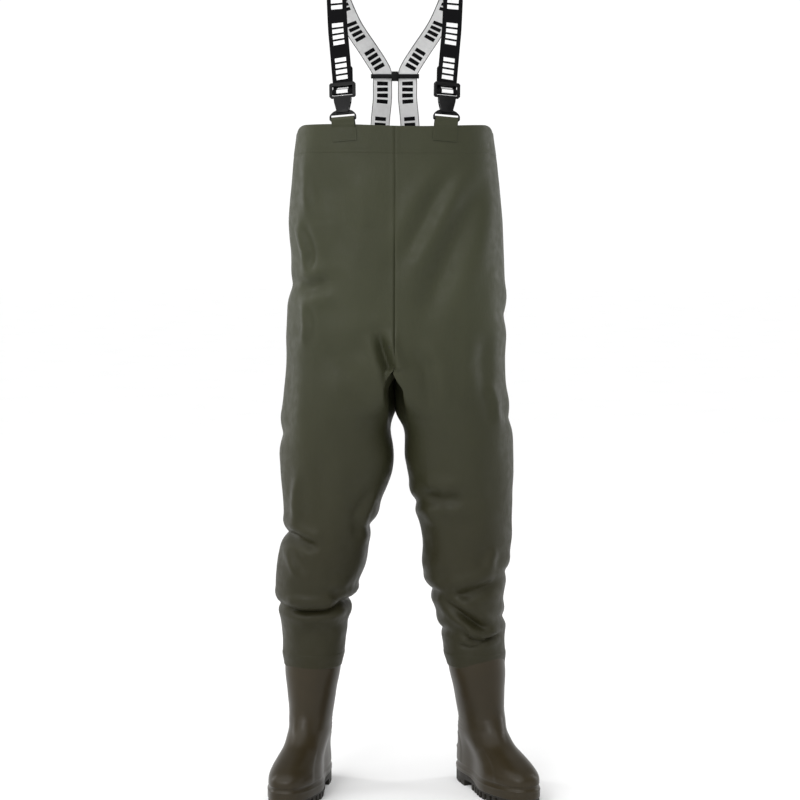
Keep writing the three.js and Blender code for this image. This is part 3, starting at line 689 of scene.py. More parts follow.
def folded(points, facing, side):
    """How far each point of the fabric stands out, and how far it hangs down."""
    height = points[:, 2]
    local = (points - [MIDDLE_X, MIDDLE_Y, 0]) / MM
    calm = smoothstep(BIB_TOP - height, 0.052, 0.15) * smoothstep(height, LEG_END + 0.012, LEG_END + 0.075)
    low = smoothstep(0.66 - height, 0, 0.12)
    # Long drapes, soft dents, small puckers, and level ripples round the lower legs.
    out = 0.0055 * cloud(points, (8, 8, 2.4), 3.1 + SIDES[side])
    out += 0.0022 * cloud(points, (19, 19, 8), 11.7)
    out += (0.0006 + 0.0007 * low) * cloud(points, (34, 34, 26), 5.3)
    out += 0.0032 * low * cloud(points, (7, 7, 19), 21.9 + SIDES[side])
    drop = np.zeros(len(points))
    depth_scale = bpy.context.scene.waders_sizes.fold_depth
    faces = {  # the axis across the face, the axis it looks along, which way, and the share of the depth
        "front": (0, 1, -1, 1.0),
        "back": (0, 1, 1, 1.0),
        side: (1, 0, SIDES[side], 0.5),
        f"{side}_inside": (1, 0, -SIDES[side], 1.0),
    }
    for face, path, width, depth, lip in FOLDS:
        if face not in faces:
            continue
        across_axis, facing_axis, sign, share_kept = faces[face]
        weight = np.clip((sign * facing[:, facing_axis] - 0.12) * 1.5, 0, 1)
        near = weight > 0
        if not near.any():
            continue
        flat = local[near][:, [across_axis, 2]]
        distance, upper, share = path_distance(flat, path)
        taper = smoothstep(share, -0.08, 0.3) * smoothstep(1 - share, -0.08, 0.3)
        strength = weight[near] * taper * depth * MM * depth_scale * share_kept
        # A valley along the path, a raised lip on both sides of it, and the upper lip hanging down.
        valley = np.exp(-((distance / width) ** 2))
        lips = np.exp(-(((distance - 1.9 * width) / (1.15 * width)) ** 2))
        lips *= np.where(upper > 0, 0.55 + 0.05 * lip, 0.35)
        out[near] += strength * (lips - valley)
        hang = np.exp(-(((distance - 0.9 * width) / (0.9 * width)) ** 2)) * (upper > 0)
        drop[near] += weight[near] * taper * lip * MM * depth_scale * hang
    drawn_in = CUFF_DRAWN_IN * (1 - smoothstep(height, LEG_END - 0.002, LEG_END + 0.024))
    return np.clip(out, *FOLD_LIMITS) * calm - drawn_in, drop * calm


def rounded_top(points, height):
    """How far the rim is lowered: most at the sides of the bib, and in a slight wave across it."""
    reach = np.abs(points[..., 0] - MIDDLE_X) / RIM_HALF
    ease = smoothstep(height, BIB_TOP - 0.09, BIB_TOP)
    wave = RIM_WAVE * np.sin((points[..., 0] - MIDDLE_X) * 17 + 0.8)
    corner = np.clip((reach - 0.9) / 0.1, 0, 1)
    return ease * (RIM_DROP * (1 - np.sqrt(1 - 0.98 * corner**2)) + wave + RIM_WAVE)


def facings(loop, columns, torso, sign):
    """Which way each point faces. In the torso, a ring goes on as its mirror image at the middle."""
    ahead, behind = np.roll(loop, -1, axis=1), np.roll(loop, 1, axis=1)
    for end, near, beyond in ((0, 1, behind), (columns - 1, columns - 2, ahead)):
        mirror = loop[:, near].copy()
        mirror[:, 0] = 2 * MIDDLE_X - mirror[:, 0]
        beyond[torso, end] = mirror[torso]
    if loop.shape[1] == columns:
        behind[~torso, 0] = loop[~torso, 0] * 2 - loop[~torso, 1]
    tangent = unit(ahead - behind)
    return np.stack([tangent[..., 1], -tangent[..., 0]], axis=-1) * sign


def fabric_surface(side, heights, outer_shares, inner_shares, grown=0.0):
    """Points of the fabric's outer face: (rows, outer columns, 3) and (rows, inner columns, 3)."""
    outer, inner = ring_paths(side, heights, outer_shares, inner_shares)
    sign = SIDES[side]
    loop = np.concatenate([outer, inner[:, 1:-1]], axis=1) if inner.shape[1] > 2 else outer
    columns = outer.shape[1]
    torso = heights >= CROTCH - LEVEL
    facing = facings(loop, columns, torso, sign)
    rows, count = loop.shape[:2]
    level = np.repeat(heights[:, None], count, axis=1)
    points = np.concatenate([loop, level[..., None]], axis=-1)
    out, drop = folded(points.reshape(-1, 3), facing.reshape(-1, 2), side)
    out, drop = out.reshape(rows, count), drop.reshape(rows, count)
    inward = smoothstep(CLOSE_BY - np.abs(points[..., 0] - MIDDLE_X), 0, CLOSE_BY)
    out = np.where(heights[:, None] < CROTCH, out * (1 - inward), out)
    out = out + np.asarray(grown).reshape(-1, 1)
    points[..., :2] += facing * out[..., None]
    points[..., 2] -= drop + rounded_top(points, level)
    from_middle = (points[..., 0] - MIDDLE_X) * sign
    least = np.where(heights[:, None] < SWAY_FULL, LEAST_GAP, 0.0)
    points[..., 0] = MIDDLE_X + sign * np.maximum(from_middle, least)
    close = smoothstep(CLOSE_BY - np.abs(points[..., 0] - MIDDLE_X), 0, 0.02)
    close = close * smoothstep(CROTCH - level, 0, 0.012)
    sway = SWAY * np.sin((points[..., 1] - MIDDLE_Y) * SWAY_WAVE)
    points[..., 0] += sway * close * smoothstep(level, SWAY_FROM, SWAY_FULL)
    for column in (0, columns - 1):
        points[torso, column, 0] = MIDDLE_X
    return points[:, :columns], points[:, columns:]


def edge_shares(count):
    """Even shares, with a few close ones at both ends for the seam."""
    start = [0, 0.0022, 0.0052, 0.0095]
    even = np.linspace(0.016, 0.984, count)
    return np.concatenate([start, even, [1 - s for s in reversed(start)]])


def seam_groove(columns, torso):
    """How far the fabric stands out, by column from the welded centre seam, which draws it in."""
    profile = np.zeros(columns)
    for k, depth in enumerate((-0.0013, -0.0006, 0.0003, 0.0005)):
        profile[k] = profile[columns - 1 - k] = depth
    return np.where(torso[:, None], profile, 0)


# ---------------------------------------------------------------- the boots' shape
def boot_section(heights):
    """Smooth curves through the boot's listed sections."""
    table = np.array(BOOT_SECTIONS, float)
    last = len(table) - 1
    at = np.clip(np.searchsorted(table[:, 0], heights, side="right") - 1, 0, last - 1)
    slopes = np.gradient(table, table[:, 0], axis=0)
    chords = np.diff(table, axis=0) / np.diff(table[:, 0])[:, None]
    for k in range(1, last):
        flat = chords[k - 1] * chords[k] <= 0
        slopes[k] = np.where(flat, 0, slopes[k])
    start, end = table[at], table[at + 1]
    span = end[:, :1] - start[:, :1]
    t = np.clip((heights[:, None] - start[:, :1]) / span, 0, 1)
    return (
        (2 * t**3 - 3 * t**2 + 1) * start
        + (t**3 - 2 * t**2 + t) * slopes[at] * span
        + (3 * t**2 - 2 * t**3) * end
        + (t**3 - t**2) * slopes[at + 1] * span
    )


def foot_width(share):
    """The width of the foot from the heel, 0, to the toe, 1, as a share of the ball's."""
    ball = smoothstep(share, 0.35, 0.68)
    waist = np.exp(-(((share - 0.4) / 0.14) ** 2))
    return 0.76 + 0.24 * ball - 0.05 * waist


def boot_rings(heights, columns, grown=0.0, lean=0.0, detail=None):
    """Rings of a boot in millimetres, heel at angle 0 and toe at pi, grown by a distance."""
    heights = np.asarray(heights, float)
    _, toe, heel, half, oval = boot_section(heights).T[:, :, None]
    angle = np.linspace(0, 2 * math.pi, columns, endpoint=False)[None, :]
    share = (1 - np.cos(angle)) / 2
    foot = signed_power(np.sin(angle), 0.72) * foot_width(share)
    across = foot * (1 - oval) + np.sin(angle) * oval
    more = np.asarray(grown, float).reshape(-1, 1) + np.zeros_like(across)
    if detail is not None:
        more = more + detail(heights[:, None], share, angle)
    x = (half + more) * across + lean * np.maximum(heights[:, None] - LEAN_FROM, 0)
    y = (heel + toe) / 2 + ((heel - toe) / 2 + more) * np.cos(angle)
    z = np.repeat(heights[:, None], columns, axis=1)
    return np.stack([x, y, z], axis=-1)


def boot_detail(height, share, angle):
    """Moulded relief on the upper: foxing above the sole, toe cap, heel counter, ankle ribs and folds."""
    above_foxing = smoothstep(height, 42, 46)
    sideways = np.abs(np.sin(angle))
    foxing = 4.9 * (1 - smoothstep(height, 33, 40))
    groove = -0.4 * np.exp(-(((height - 42) / 1.4) ** 2))
    cap = 1.1 * smoothstep(share, 0.775, 0.79) * (1 - smoothstep(height, 84, 104)) * above_foxing
    counter = 1.3 * smoothstep(0.2 - share, 0, 0.018) * (1 - smoothstep(height, 104, 108)) * above_foxing
    spur = 3.4 * smoothstep(0.07 - share, 0, 0.05) * np.exp(-(((height - 70) / 4.2) ** 2))
    ribs = 0.5 * np.maximum(0, np.cos((height - 110) * 2 * math.pi / 9)) ** 4
    ribs = ribs * smoothstep(height, 108, 116) * (1 - smoothstep(height, 142, 152))
    ribs = ribs * smoothstep(0.46 - share, 0, 0.1)
    dent = np.exp(-(((height - 132 - 10 * np.cos(angle)) / 13) ** 2))
    dent = dent * np.exp(-(((sideways - 0.75) / 0.35) ** 2))
    shin = 0.6 * np.sin(height * 0.045 + 3 * np.cos(angle)) * smoothstep(height, 150, 220) * sideways
    collar = 2.2 * smoothstep(height, 200, 250)
    return collar + foxing + groove + cap + counter + spur + ribs - 1.6 * dent + shin


def place_boot(points, side):
    """From a boot's own frame in millimetres to the row's frame in metres."""
    sign = SIDES[side]
    turn = np.array(Matrix.Rotation(math.radians(sign * TOES_OUT[side]), 3, "Z"))
    moved = points @ turn.T + [sign * ANKLE_OUT[side], BOOT_Y, 0]
    return moved * MM + [MIDDLE_X, MIDDLE_Y, 0]


# ---------------------------------------------------------------- the buckles' and straps' places
# Millimetres and degrees. A buckle's heights are above the bar that its socket hangs on.
BAR_ABOVE_BIB = 9
BUCKLE_X = 103
LEAN_BACK = 16
LEAN_OUT = 4.5
STRAP_LEAN_OUT = 0.07
STRAP_BACK = 4.2  # behind the middle of the buckle's frame
TAIL_BACK = 6.6
TURN_TOP = 67.3  # where the webbing leaves the frame's window
TURN_ROUTE = [
    (STRAP_BACK, TURN_TOP),
    (3.6, TURN_TOP - 2.5),
    (-1.0, 61.5),
    (-3.6, 59.4),
    (-4.3, 57.2),
    (-4.2, 54.6),
    (-2.6, 52.9),
    (1.4, 52.4),
    (4.4, 52.9),
    (6.2, 54.6),
    (TAIL_BACK, 58),
    (TAIL_BACK, TURN_TOP),
]
TAIL_LENGTH = 45
STRAP_START = 70.8
STRETCH_FROM, STRETCH_TO = 76, 200
STRAP_THICK, TURN_THICK, TURN_WIDTH = 0.0017, 0.0016, 0.0398
TAB_DOWN = 34  # how far a tab reaches below the rim, in front and inside
TAB_GROWN, TAB_PRESSED = 1.7, 1.55  # how far a tab's middle lies off the bib's face, and on the hem
TAB_LOOP, TAB_LOOP_BACK, TAB_INSIDE = 4.5, 0.85, 8.2
TAB_WIDTH, TAB_THICK = 0.046, 0.0016
FRONT_LEG_FROM = 0.112
STRAP_FOOT_Y = 142.6
STRETCH_WAY = np.array([0, -1, -0.85])  # the way along which the end of the strap's span handed to bend is set, clear of its back half
SHOULDER_ROUTE = [
    (118, -48, 273),
    (119, 4, 287),
    (112, 56, 264),
    (88, 100, 212),
    (52, 130, 159),
    (34, STRAP_FOOT_Y - 6, 131),
    (26.5, STRAP_FOOT_Y - 4, 115),
    (26.5, STRAP_FOOT_Y - 4, 92),
    (26.5, STRAP_FOOT_Y - 4, 64),
    (30.5, STRAP_FOOT_Y - 0.6, 22),
    (34, STRAP_FOOT_Y, -36),
]


def bib_face(x, z, grown):
    """How deep the bib's face lies in front of a place, and how far it has turned, in millimetres."""
    _, half, deep, _, square = (float(v[0, 0]) for v in section_at("right", np.array([z * MM])))
    half, deep = half / MM + grown, deep / MM + grown
    share = 1 - (x / half) ** square
    slope = (deep / half) * (x / half) ** (square - 1) * share ** (1 / square - 1)
    return deep * share ** (1 / square), math.atan(slope)


def tab_frame(side):
    """The tab's frame: origin on the buckle's bar over the hem, x across it, in metres."""
    sign = SIDES[side]
    deep, turned = bib_face(BUCKLE_X, BIB_TOP / MM, TAB_GROWN)
    place = Vector((sign * BUCKLE_X * MM + MIDDLE_X, -deep * MM + MIDDLE_Y, BIB_TOP + BAR_ABOVE_BIB * MM))
    turn = Matrix.Rotation(sign * turned, 4, "Z") @ Matrix.Rotation(math.radians(sign * LEAN_OUT), 4, "Y")
    return Matrix.Translation(place) @ turn


def buckle_frame(side):
    """The buckle's frame: the strap runs up +Z from the socket's bar, and -Y is the front."""
    lean = Matrix.Rotation(math.radians(-LEAN_BACK), 4, "X")
    return tab_frame(side) @ Matrix.Translation((0, TAB_LOOP_BACK * MM, 0)) @ lean


def in_frame(matrix, points):
    """Millimetre points of a frame, in the row's frame in metres."""
    turned = np.array(matrix.to_3x3())
    return np.asarray(points, float) * MM @ turned.T + np.array(matrix.translation)


def smooth_line(points, spacing):
    """A centripetal curve through points, sampled evenly."""
    points = np.asarray(points, float)
    padded = np.vstack([2 * points[0] - points[1], points, 2 * points[-1] - points[-2]])
    pieces = []
    for k in range(len(points) - 1):
        p0, p1, p2, p3 = padded[k : k + 4]
        d0, d1, d2 = (max(np.linalg.norm(b - a) ** 0.5, 1e-6) for a, b in ((p0, p1), (p1, p2), (p2, p3)))
        t1 = ((p1 - p0) / d0 - (p2 - p0) / (d0 + d1) + (p2 - p1) / d1) * d1
        t2 = ((p2 - p1) / d1 - (p3 - p1) / (d1 + d2) + (p3 - p2) / d2) * d1
        t = np.linspace(0, 1, 60, endpoint=False)[:, None]
        pieces.append(
            p1 + t1 * t + (-3 * p1 + 3 * p2 - 2 * t1 - t2) * t**2 + (2 * p1 - 2 * p2 + t1 + t2) * t**3
        )
    path = np.vstack(pieces + [points[-1:]])
    length = np.linalg.norm(np.diff(path, axis=0), axis=1).sum()
    return resample(path, np.linspace(0, 1, max(2, int(round(length / spacing)) + 1)))


def ribbon(
    name, line, across, width, thickness, materials, start_along=0.0, columns=9, round_end=False, press=None
):
    """A flat band along a line, with its width along the across vectors. Its UV map is in metres."""
    rows = len(line)
    along = unit(np.gradient(line, axis=0))
    across = np.broadcast_to(across, line.shape)
    across = unit(across - (across * along).sum(axis=1, keepdims=True) * along)
    u = np.linspace(-0.5, 0.5, columns)
    widths = np.full(rows, width)
    if round_end:
        left = np.linalg.norm(line - line[-1], axis=1)
        radius = 0.006
        inset = radius - np.sqrt(np.maximum(radius**2 - np.maximum(radius - left, 0) ** 2, 0))
        widths = width - 2 * inset
    points = line[:, None, :] + across[:, None, :] * (u[None, :, None] * widths[:, None, None])
    step = np.linalg.norm(np.diff(line, axis=0), axis=1)
    length = start_along + np.concatenate([[0], np.cumsum(step)])
    uv = np.stack(
        [np.tile((u + 0.5) * width, (rows, 1)), np.repeat(length[:, None], columns, axis=1)], axis=-1
    ).reshape(-1, 2)
    points = points.reshape(-1, 3)
    if press:
        points = press(points)
    quads = grid_faces(np.arange(rows * columns).reshape(rows, columns))
    normals = point_normals(points, quads)
    return solid_sheet(name, points, quads, normals, thickness / 2, thickness / 2, materials, uv)


def moulded_copy(node, name, material, bevel):
    """A copy of a node's solid with its moulded edges rounded."""
    obj = bpy.data.objects.new(name, frame["nodes"][node].data.copy())
    bpy.context.scene.collection.objects.link(obj)
    obj.data.materials.clear()
    obj.data.materials.append(material)
    activate(obj)
    bpy.ops.object.mode_set(mode="EDIT")
    bpy.ops.mesh.select_all(action="SELECT")
    bpy.ops.mesh.remove_doubles(threshold=1e-6)
    bpy.ops.mesh.dissolve_limited(angle_limit=math.radians(1.0))
    bpy.ops.object.mode_set(mode="OBJECT")
    bevelled(obj, bevel, 3, 25)
    smooth_by_angle(obj, 40)
    return obj


# ---------------------------------------------------------------- operators
class WADERS_OT_fabric(bpy.types.Operator):
    """Make the bib and the legs from two halves of coated fabric"""

    bl_idname = "waders.fabric"
    bl_label = "Bib and legs"

    def bend_at_joint(self, piece, side, part):
        """Passes the upper part to bend() with the hip's bodies and sleeves, and the lower part with the
        knee's.
        """
        if part == "bib_half":
            bodies, joint, ease = ("root", f"{side}_thigh"), HIP, HIP_EASE
            nodes = ("body_half", "hip_sleeve", "thigh_sleeve")
        else:
            bodies, joint, ease = (f"{side}_thigh", f"{side}_shin"), KNEE, KNEE_EASE
            nodes = ("knee_sleeve", "shin_sleeve")
        start, end = (0, MIDDLE_Y, joint + ease), (0, MIDDLE_Y, joint - ease)
        bend(piece, bodies, start, end, "coated_fabric", *(f"{side}_{node}" for node in nodes))

    def execute(self, context):
        sizes = context.scene.waders_sizes
        spacing = sizes.grid_spacing
        top, foot = BIB_TOP - 0.0015, LEG_END + 0.002
        torso_rows = int(round((top - CROTCH) / spacing))
        leg_rows = int(round((CROTCH - LEG_END) / spacing))
        down_leg = np.linspace(CROTCH, foot, leg_rows)
        heights = np.concatenate([np.linspace(top, CROTCH, torso_rows), down_leg[1:]])
        outer_shares = edge_shares(int(OUTSIDE_ROUND / spacing))
        inner_shares = np.linspace(0, 1, int(INSIDE_ROUND / spacing))
        torso = heights >= CROTCH - LEVEL
        for side, sign in SIDES.items():
            outer, inner = fabric_surface(side, heights, outer_shares, inner_shares)
            columns = outer.shape[1]
            outer[..., 1] += seam_groove(columns, torso) * np.sign(outer[..., 1] - MIDDLE_Y)
            rows = len(heights)
            crotch_row = torso.sum() - 1
            grid = np.concatenate([outer, inner], axis=1)
            index = np.full((rows, grid.shape[1]), -1)
            index[:, :columns] = 1
            index[crotch_row:] = 1
            index[index > 0] = np.arange((index > 0).sum())
            points = grid[index >= 0]
            body = grid_faces(index[:, :columns], flip=sign > 0)
            ring = np.hstack([index[crotch_row:, columns - 1 :], index[crotch_row:, :1]])
            leg = grid_faces(ring, flip=sign > 0)
            quads = np.vstack([body, leg])
            normals = point_normals(points, quads)
            row_of = np.broadcast_to(np.arange(rows)[:, None], index.shape)[index >= 0]
            split = int(np.argmin(np.abs(heights - MID_THIGH)))
            upper = row_of[quads].max(axis=1) <= split
            for part, keep in (("bib_half", upper), ("lower_leg", ~upper)):
                used, packed = np.unique(quads[keep], return_inverse=True)
                piece = solid_sheet(
                    f"{side}_{part}",
                    points[used],
                    packed.reshape(-1, 4),
                    normals[used],
                    0.0,
                    sizes.fabric_thickness,
                    [finish("coated_fabric"), finish("fabric_inside")],
                )
                self.bend_at_joint(piece, side, part)
        return {"FINISHED"}


TAPE_WIDTH, TAPE_THICK = 0.024, 0.0008
TAPE_GROWN = -0.0042  # how far a tape lies off the fabric's outer face


class WADERS_OT_trim(bpy.types.Operator):
    """Make the folded hem, the cuff bands, the seam tapes, the buckle tabs and the strap patches"""

    bl_idname = "waders.trim"
    bl_label = "Hem, bands, tapes and tabs"

    def hem(self):
        """A band folded over the rim, with a weld line near its lower edge."""
        reach = BIB_TOP - HEM_LOW
        # Round the band's section: how far out in millimetres, and how far below the rim in metres.
        down = np.linspace(0.004, reach - 0.008, 9)
        profile = [(-0.9, 0.0), (-0.3, 0.0), (0.3, 0.0006), (0.5, 0.0022)]
        profile += [(0.55, d) for d in down]
        profile += [(0.4, reach - 0.0065), (0.4, reach - 0.0055), (0.45, reach - 0.004)]
        profile += [(0.4, reach - 0.0006), (0.15, reach), (-0.3, reach)]
        profile += [(-1.2, reach - 0.0005)]
        profile += [(-2.4, d) for d in reversed(down)]
        profile += [(-2.2, 0.0022), (-1.6, 0.0006)]
        grown = np.array([g for g, _ in profile]) * MM
        heights = BIB_TOP - np.array([d for _, d in profile])
        shares = edge_shares(119)
        halves = {}
        for side in SIDES:
            outer, _ = fabric_surface(side, heights, shares, np.array([0, 1.0]), grown)
            groove = seam_groove(len(shares), np.ones(len(heights), bool))
            outer[..., 1] += groove * np.sign(outer[..., 1] - MIDDLE_Y)
            halves[side] = outer
        rings = np.concatenate([halves["left"], halves["right"][:, -2:0:-1]], axis=1)
        piece = loft("top_hem_band", rings, [finish("coated_fabric")], cap=False)
        smooth_by_angle(piece, 50)
        settle(piece, "root", "coated_fabric", "top_hem")

    def cuff(self, side):
        """The band that welds the leg to the boot, drawn in at its lower edge."""
        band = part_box(f"{side}_cuff_band")
        tall = band[1].z - band[0].z
        # Round the band's section: how far out in millimetres, and how high up the band in metres.
        profile = [(-0.8, tall - 0.001), (0.1, tall), (0.5, tall - 0.0006), (0.6, tall - 0.003)]
        profile += [(0.6, tall * k) for k in (0.7, 0.5, 0.3, 0.15, 0.05)]
        profile += [(0.4, -0.001), (0.0, -0.0028), (-0.7, -0.0042), (-1.4, -0.0046), (-2.0, -0.004)]
        profile += [(-2.3, -0.001), (-2.3, tall * 0.2), (-2.1, tall * 0.5), (-1.7, tall * 0.8)]
        grown = np.array([g for g, _ in profile]) * MM
        heights = band[0].z + np.array([d for _, d in profile])
        outer, inner = fabric_surface(side, heights, np.linspace(0, 1, 91), np.linspace(0, 1, 41), grown)
        rings = np.concatenate([outer, inner], axis=1)
        piece = loft(f"{side}_cuff", rings, [finish("coated_fabric")], cap=False)
        smooth_by_angle(piece, 50)
        settle(piece, f"{side}_shin", "coated_fabric", f"{side}_cuff_band")

    def tape(self, name, column):
        """A welded tape over the inside of a centre seam."""
        heights = np.linspace(BIB_TOP - 0.008, CROTCH + 0.04, 60)
        outer, _ = fabric_surface("right", heights, np.linspace(0, 1, 41), np.array([0, 1.0]), TAPE_GROWN)
        across = np.array([1.0, 0, 0])
        line = outer[:, column]
        piece = ribbon(name, line, across, TAPE_WIDTH, TAPE_THICK, [finish("fabric_inside")])
        settle(piece, "root", "coated_fabric", name.replace("_strip", "_tape"))

    def pressed(self, points):
        """Lays the front leg of a tab against the curve of the hem."""
        moved = points.copy()
        for k, (x, y, z) in enumerate(points):
            if y < MIDDLE_Y - FRONT_LEG_FROM and z < BIB_TOP:
                face = bib_face(abs(x - MIDDLE_X) / MM, z / MM, TAB_PRESSED)[0] * MM
                close = smoothstep(BIB_TOP - z, 0, 0.008)
                moved[k, 1] = y + (MIDDLE_Y - face - y) * close
        return moved

    def tab(self, side):
        """A doubled strip up the face of the hem, round the buckle's bar and down inside."""
        low = -(BAR_ABOVE_BIB + TAB_DOWN)
        rim = BIB_TOP / MM
        foot = bib_face(BUCKLE_X, rim - TAB_DOWN, TAB_GROWN)[0] - bib_face(BUCKLE_X, rim, TAB_GROWN)[0]
        points = [(-(foot + 1.6), low), (-(foot * 0.55 + 1.9), low * 0.62), (-2.2, -BAR_ABOVE_BIB)]
        for k in range(9):
            angle = math.pi * (1 - k / 8)
            points.append((TAB_LOOP_BACK + TAB_LOOP * math.cos(angle), TAB_LOOP * math.sin(angle)))
        points += [(TAB_INSIDE, z) for z in (-BAR_ABOVE_BIB, low * 0.62, low)]
        line = smooth_line(in_frame(tab_frame(side), [(0, y, z) for y, z in points]), 0.0012)
        across = np.array(tab_frame(side).to_3x3().col[0])
        fabric = [finish("coated_fabric")]
        piece = ribbon(
            f"{side}_tab", line, across, TAB_WIDTH, TAB_THICK, fabric, columns=17, press=self.pressed
        )
        settle(piece, "root", "coated_fabric", f"{side}_front_tab")

    def execute(self, context):
        self.hem()
        self.tape("front_seam_strip", 0)
        self.tape("back_seam_strip", -1)
        for side in SIDES:
            self.cuff(side)
            self.tab(side)
            patch = moulded_copy(f"{side}_back_patch", f"{side}_strap_patch", finish("coated_fabric"), 0.0008)
            settle(patch, "root", "coated_fabric", f"{side}_back_patch")
        return {"FINISHED"}


class WADERS_OT_boots(bpy.types.Operator):
    """Make the moulded boot uppers"""

    bl_idname = "waders.boots"
    bl_label = "Boot uppers"

    def skirt(self, columns):
        """The moulded edge that laps down over the side of the sole, lowest round the toe."""
        share = (1 - np.cos(np.linspace(0, 2 * math.pi, columns, endpoint=False))) / 2
        low = 26 - 9 * smoothstep(share, 0.3, 0.6)
        rings = []
        inside = [(4.15, SOLE_TOP - 0.3), (4.15, low + 0.5), (4.4, low)]
        outside = [(4.8, low + 0.2), (5.1, low + 1.2), (5.1, 28)]
        for grown, height in inside + outside:
            ring = boot_rings([SOLE_TOP], columns, grown)[0]
            ring[:, 2] = height
            rings.append(ring)
        return np.array(rings)

    def execute(self, context):
        columns = 144
        stretches = ((SOLE_TOP, 52, 23), (53.5, 110, 44), (112, 155, 36), (158, SHAFT_TOP, 50))
        fine = np.concatenate([np.linspace(*stretch) for stretch in stretches])
        inside = np.linspace(SOLE_TOP + 4, SHAFT_TOP, 60)[::-1]
        for side, sign in SIDES.items():
            lean = -sign * SHAFT_LEAN[side]
            outer = boot_rings(fine, columns, 0, lean, boot_detail)
            rim = np.concatenate([boot_rings([SHAFT_TOP], columns, grown, lean) for grown in (-1.0, -2.5)])
            rim[..., 2] += 0.6
            inner = boot_rings(inside, columns, -SHAFT_WALL, lean)
            skirt = self.skirt(columns)
            rings = place_boot(np.concatenate([skirt, outer, rim, inner]), side)
            piece = loft(f"{side}_boot", rings, [finish("boot_pvc")])
            smooth_by_angle(piece, 50)
            settle(piece, f"{side}_shin", "boot_pvc", f"{side}_boot_upper")
        return {"FINISHED"}


HEEL_END, TOE_END = 82, -210
HEEL_LENGTH = 78
HEEL_BLOCKS, HEEL_BLOCK, HEEL_BLOCK_STEP = 3, 21.5, 26.6
HEEL_FLOOR = 6.5  # how high the heel is between its blocks
ARCH_LENGTH = 2.2  # from the heel to the middle of the first lug, in lug steps
LUG_STEP, LUG_HALF = 18, 5.5
TREAD_DEPTH = 13


class WADERS_OT_soles(bpy.types.Operator):
    """Make the cleated outsoles and the felt insoles"""

    bl_idname = "waders.soles"
    bl_label = "Soles and insoles"

    def block(self, name, low, high, floor, ceiling, side):
        """A slice of the sole's outline between two places along the foot, as a solid."""
        outline = boot_rings([SOLE_TOP], 240, 4.0)[0]
        order = np.argsort(outline[:120, 1])
        y_half = outline[:120, 1][order]
        x_half = np.abs(outline[:120, 0][order])
        steps = np.linspace(low, high, max(5, int((high - low) / 3)))
        half = np.interp(steps, y_half, x_half)
        path = np.concatenate([np.stack([half, steps], 1), np.stack([-half, steps], 1)[::-1]])
        keep = [k for k in range(len(path)) if np.linalg.norm(path[k] - path[k - 1]) > 0.05]
        path = path[keep]
        rings = [np.column_stack([path, np.full(len(path), z)]) for z in (floor, ceiling)]
        return loft(name, place_boot(np.array(rings), side), [finish("sole_pvc")])

    def tread(self):
        """Where each block under the sole starts and ends along the foot, and its lower face."""
        breast = HEEL_END - HEEL_LENGTH
        starts = [breast + k * HEEL_BLOCK_STEP for k in range(HEEL_BLOCKS)]
        blocks = [(start, start + HEEL_BLOCK, 0.0) for start in starts[:-1]]
        blocks.append((starts[-1], HEEL_END - 0.2, 0.0))
        y = breast - ARCH_LENGTH * LUG_STEP
        while y > TOE_END:
            blocks.append((max(y - LUG_HALF, TOE_END + 0.6), y + LUG_HALF, 0.0))
            y -= LUG_STEP
        blocks.append((breast + 1, HEEL_END - 4, HEEL_FLOOR))
        return blocks

    def execute(self, context):
        for side in SIDES:
            ends = (TOE_END + 0.2, HEEL_END - 0.2)
            parts = [self.block(f"{side}_outsole", *ends, TREAD_DEPTH, SOLE_TOP - 0.3, side)]
            for k, (low, high, floor) in enumerate(self.tread()):
                parts.append(self.block(f"{side}_lug_{k}", low, high, floor, TREAD_DEPTH + 1, side))
            for part in parts:
                bevelled(part, 0.0011, 2, 40)
            deselect()
            for part in parts:
                part.select_set(True)
            bpy.context.view_layer.objects.active = parts[0]
            bpy.ops.object.join()
            piece = parts[0]
            smooth_by_angle(piece, 35)
            settle(piece, f"{side}_shin", "sole_pvc", f"{side}_boot_sole")
            felt = moulded_copy(f"{side}_insole", f"{side}_footbed", finish("insole_felt"), 0.0014)
            settle(felt, f"{side}_shin", "insole_felt", f"{side}_insole")
        return {"FINISHED"}


class WADERS_OT_buckles(bpy.types.Operator):
    """Make the side-release buckles and the joiner behind the shoulders"""

    bl_idname = "waders.buckles"
    bl_label = "Buckles and joiner"

    def execute(self, context):
        plastic = finish("buckle_plastic")
        for side in SIDES:
            for part, body, bevel in (
                ("buckle_socket", "root", 0.0009),
                ("buckle_plug", f"{side}_plug", 0.0009),
                ("outer_prong", f"{side}_outer_prong", 0.0005),
                ("inner_prong", f"{side}_inner_prong", 0.0005),
            ):
                node = f"{side}_{part}"
                piece = moulded_copy(node, f"{node}_moulding", plastic, bevel)
                settle(piece, body, "buckle_plastic", node)
        piece = moulded_copy("strap_joiner", "strap_joiner_moulding", plastic, 0.0011)
        settle(piece, "joiner", "buckle_plastic", "strap_joiner")
        return {"FINISHED"}


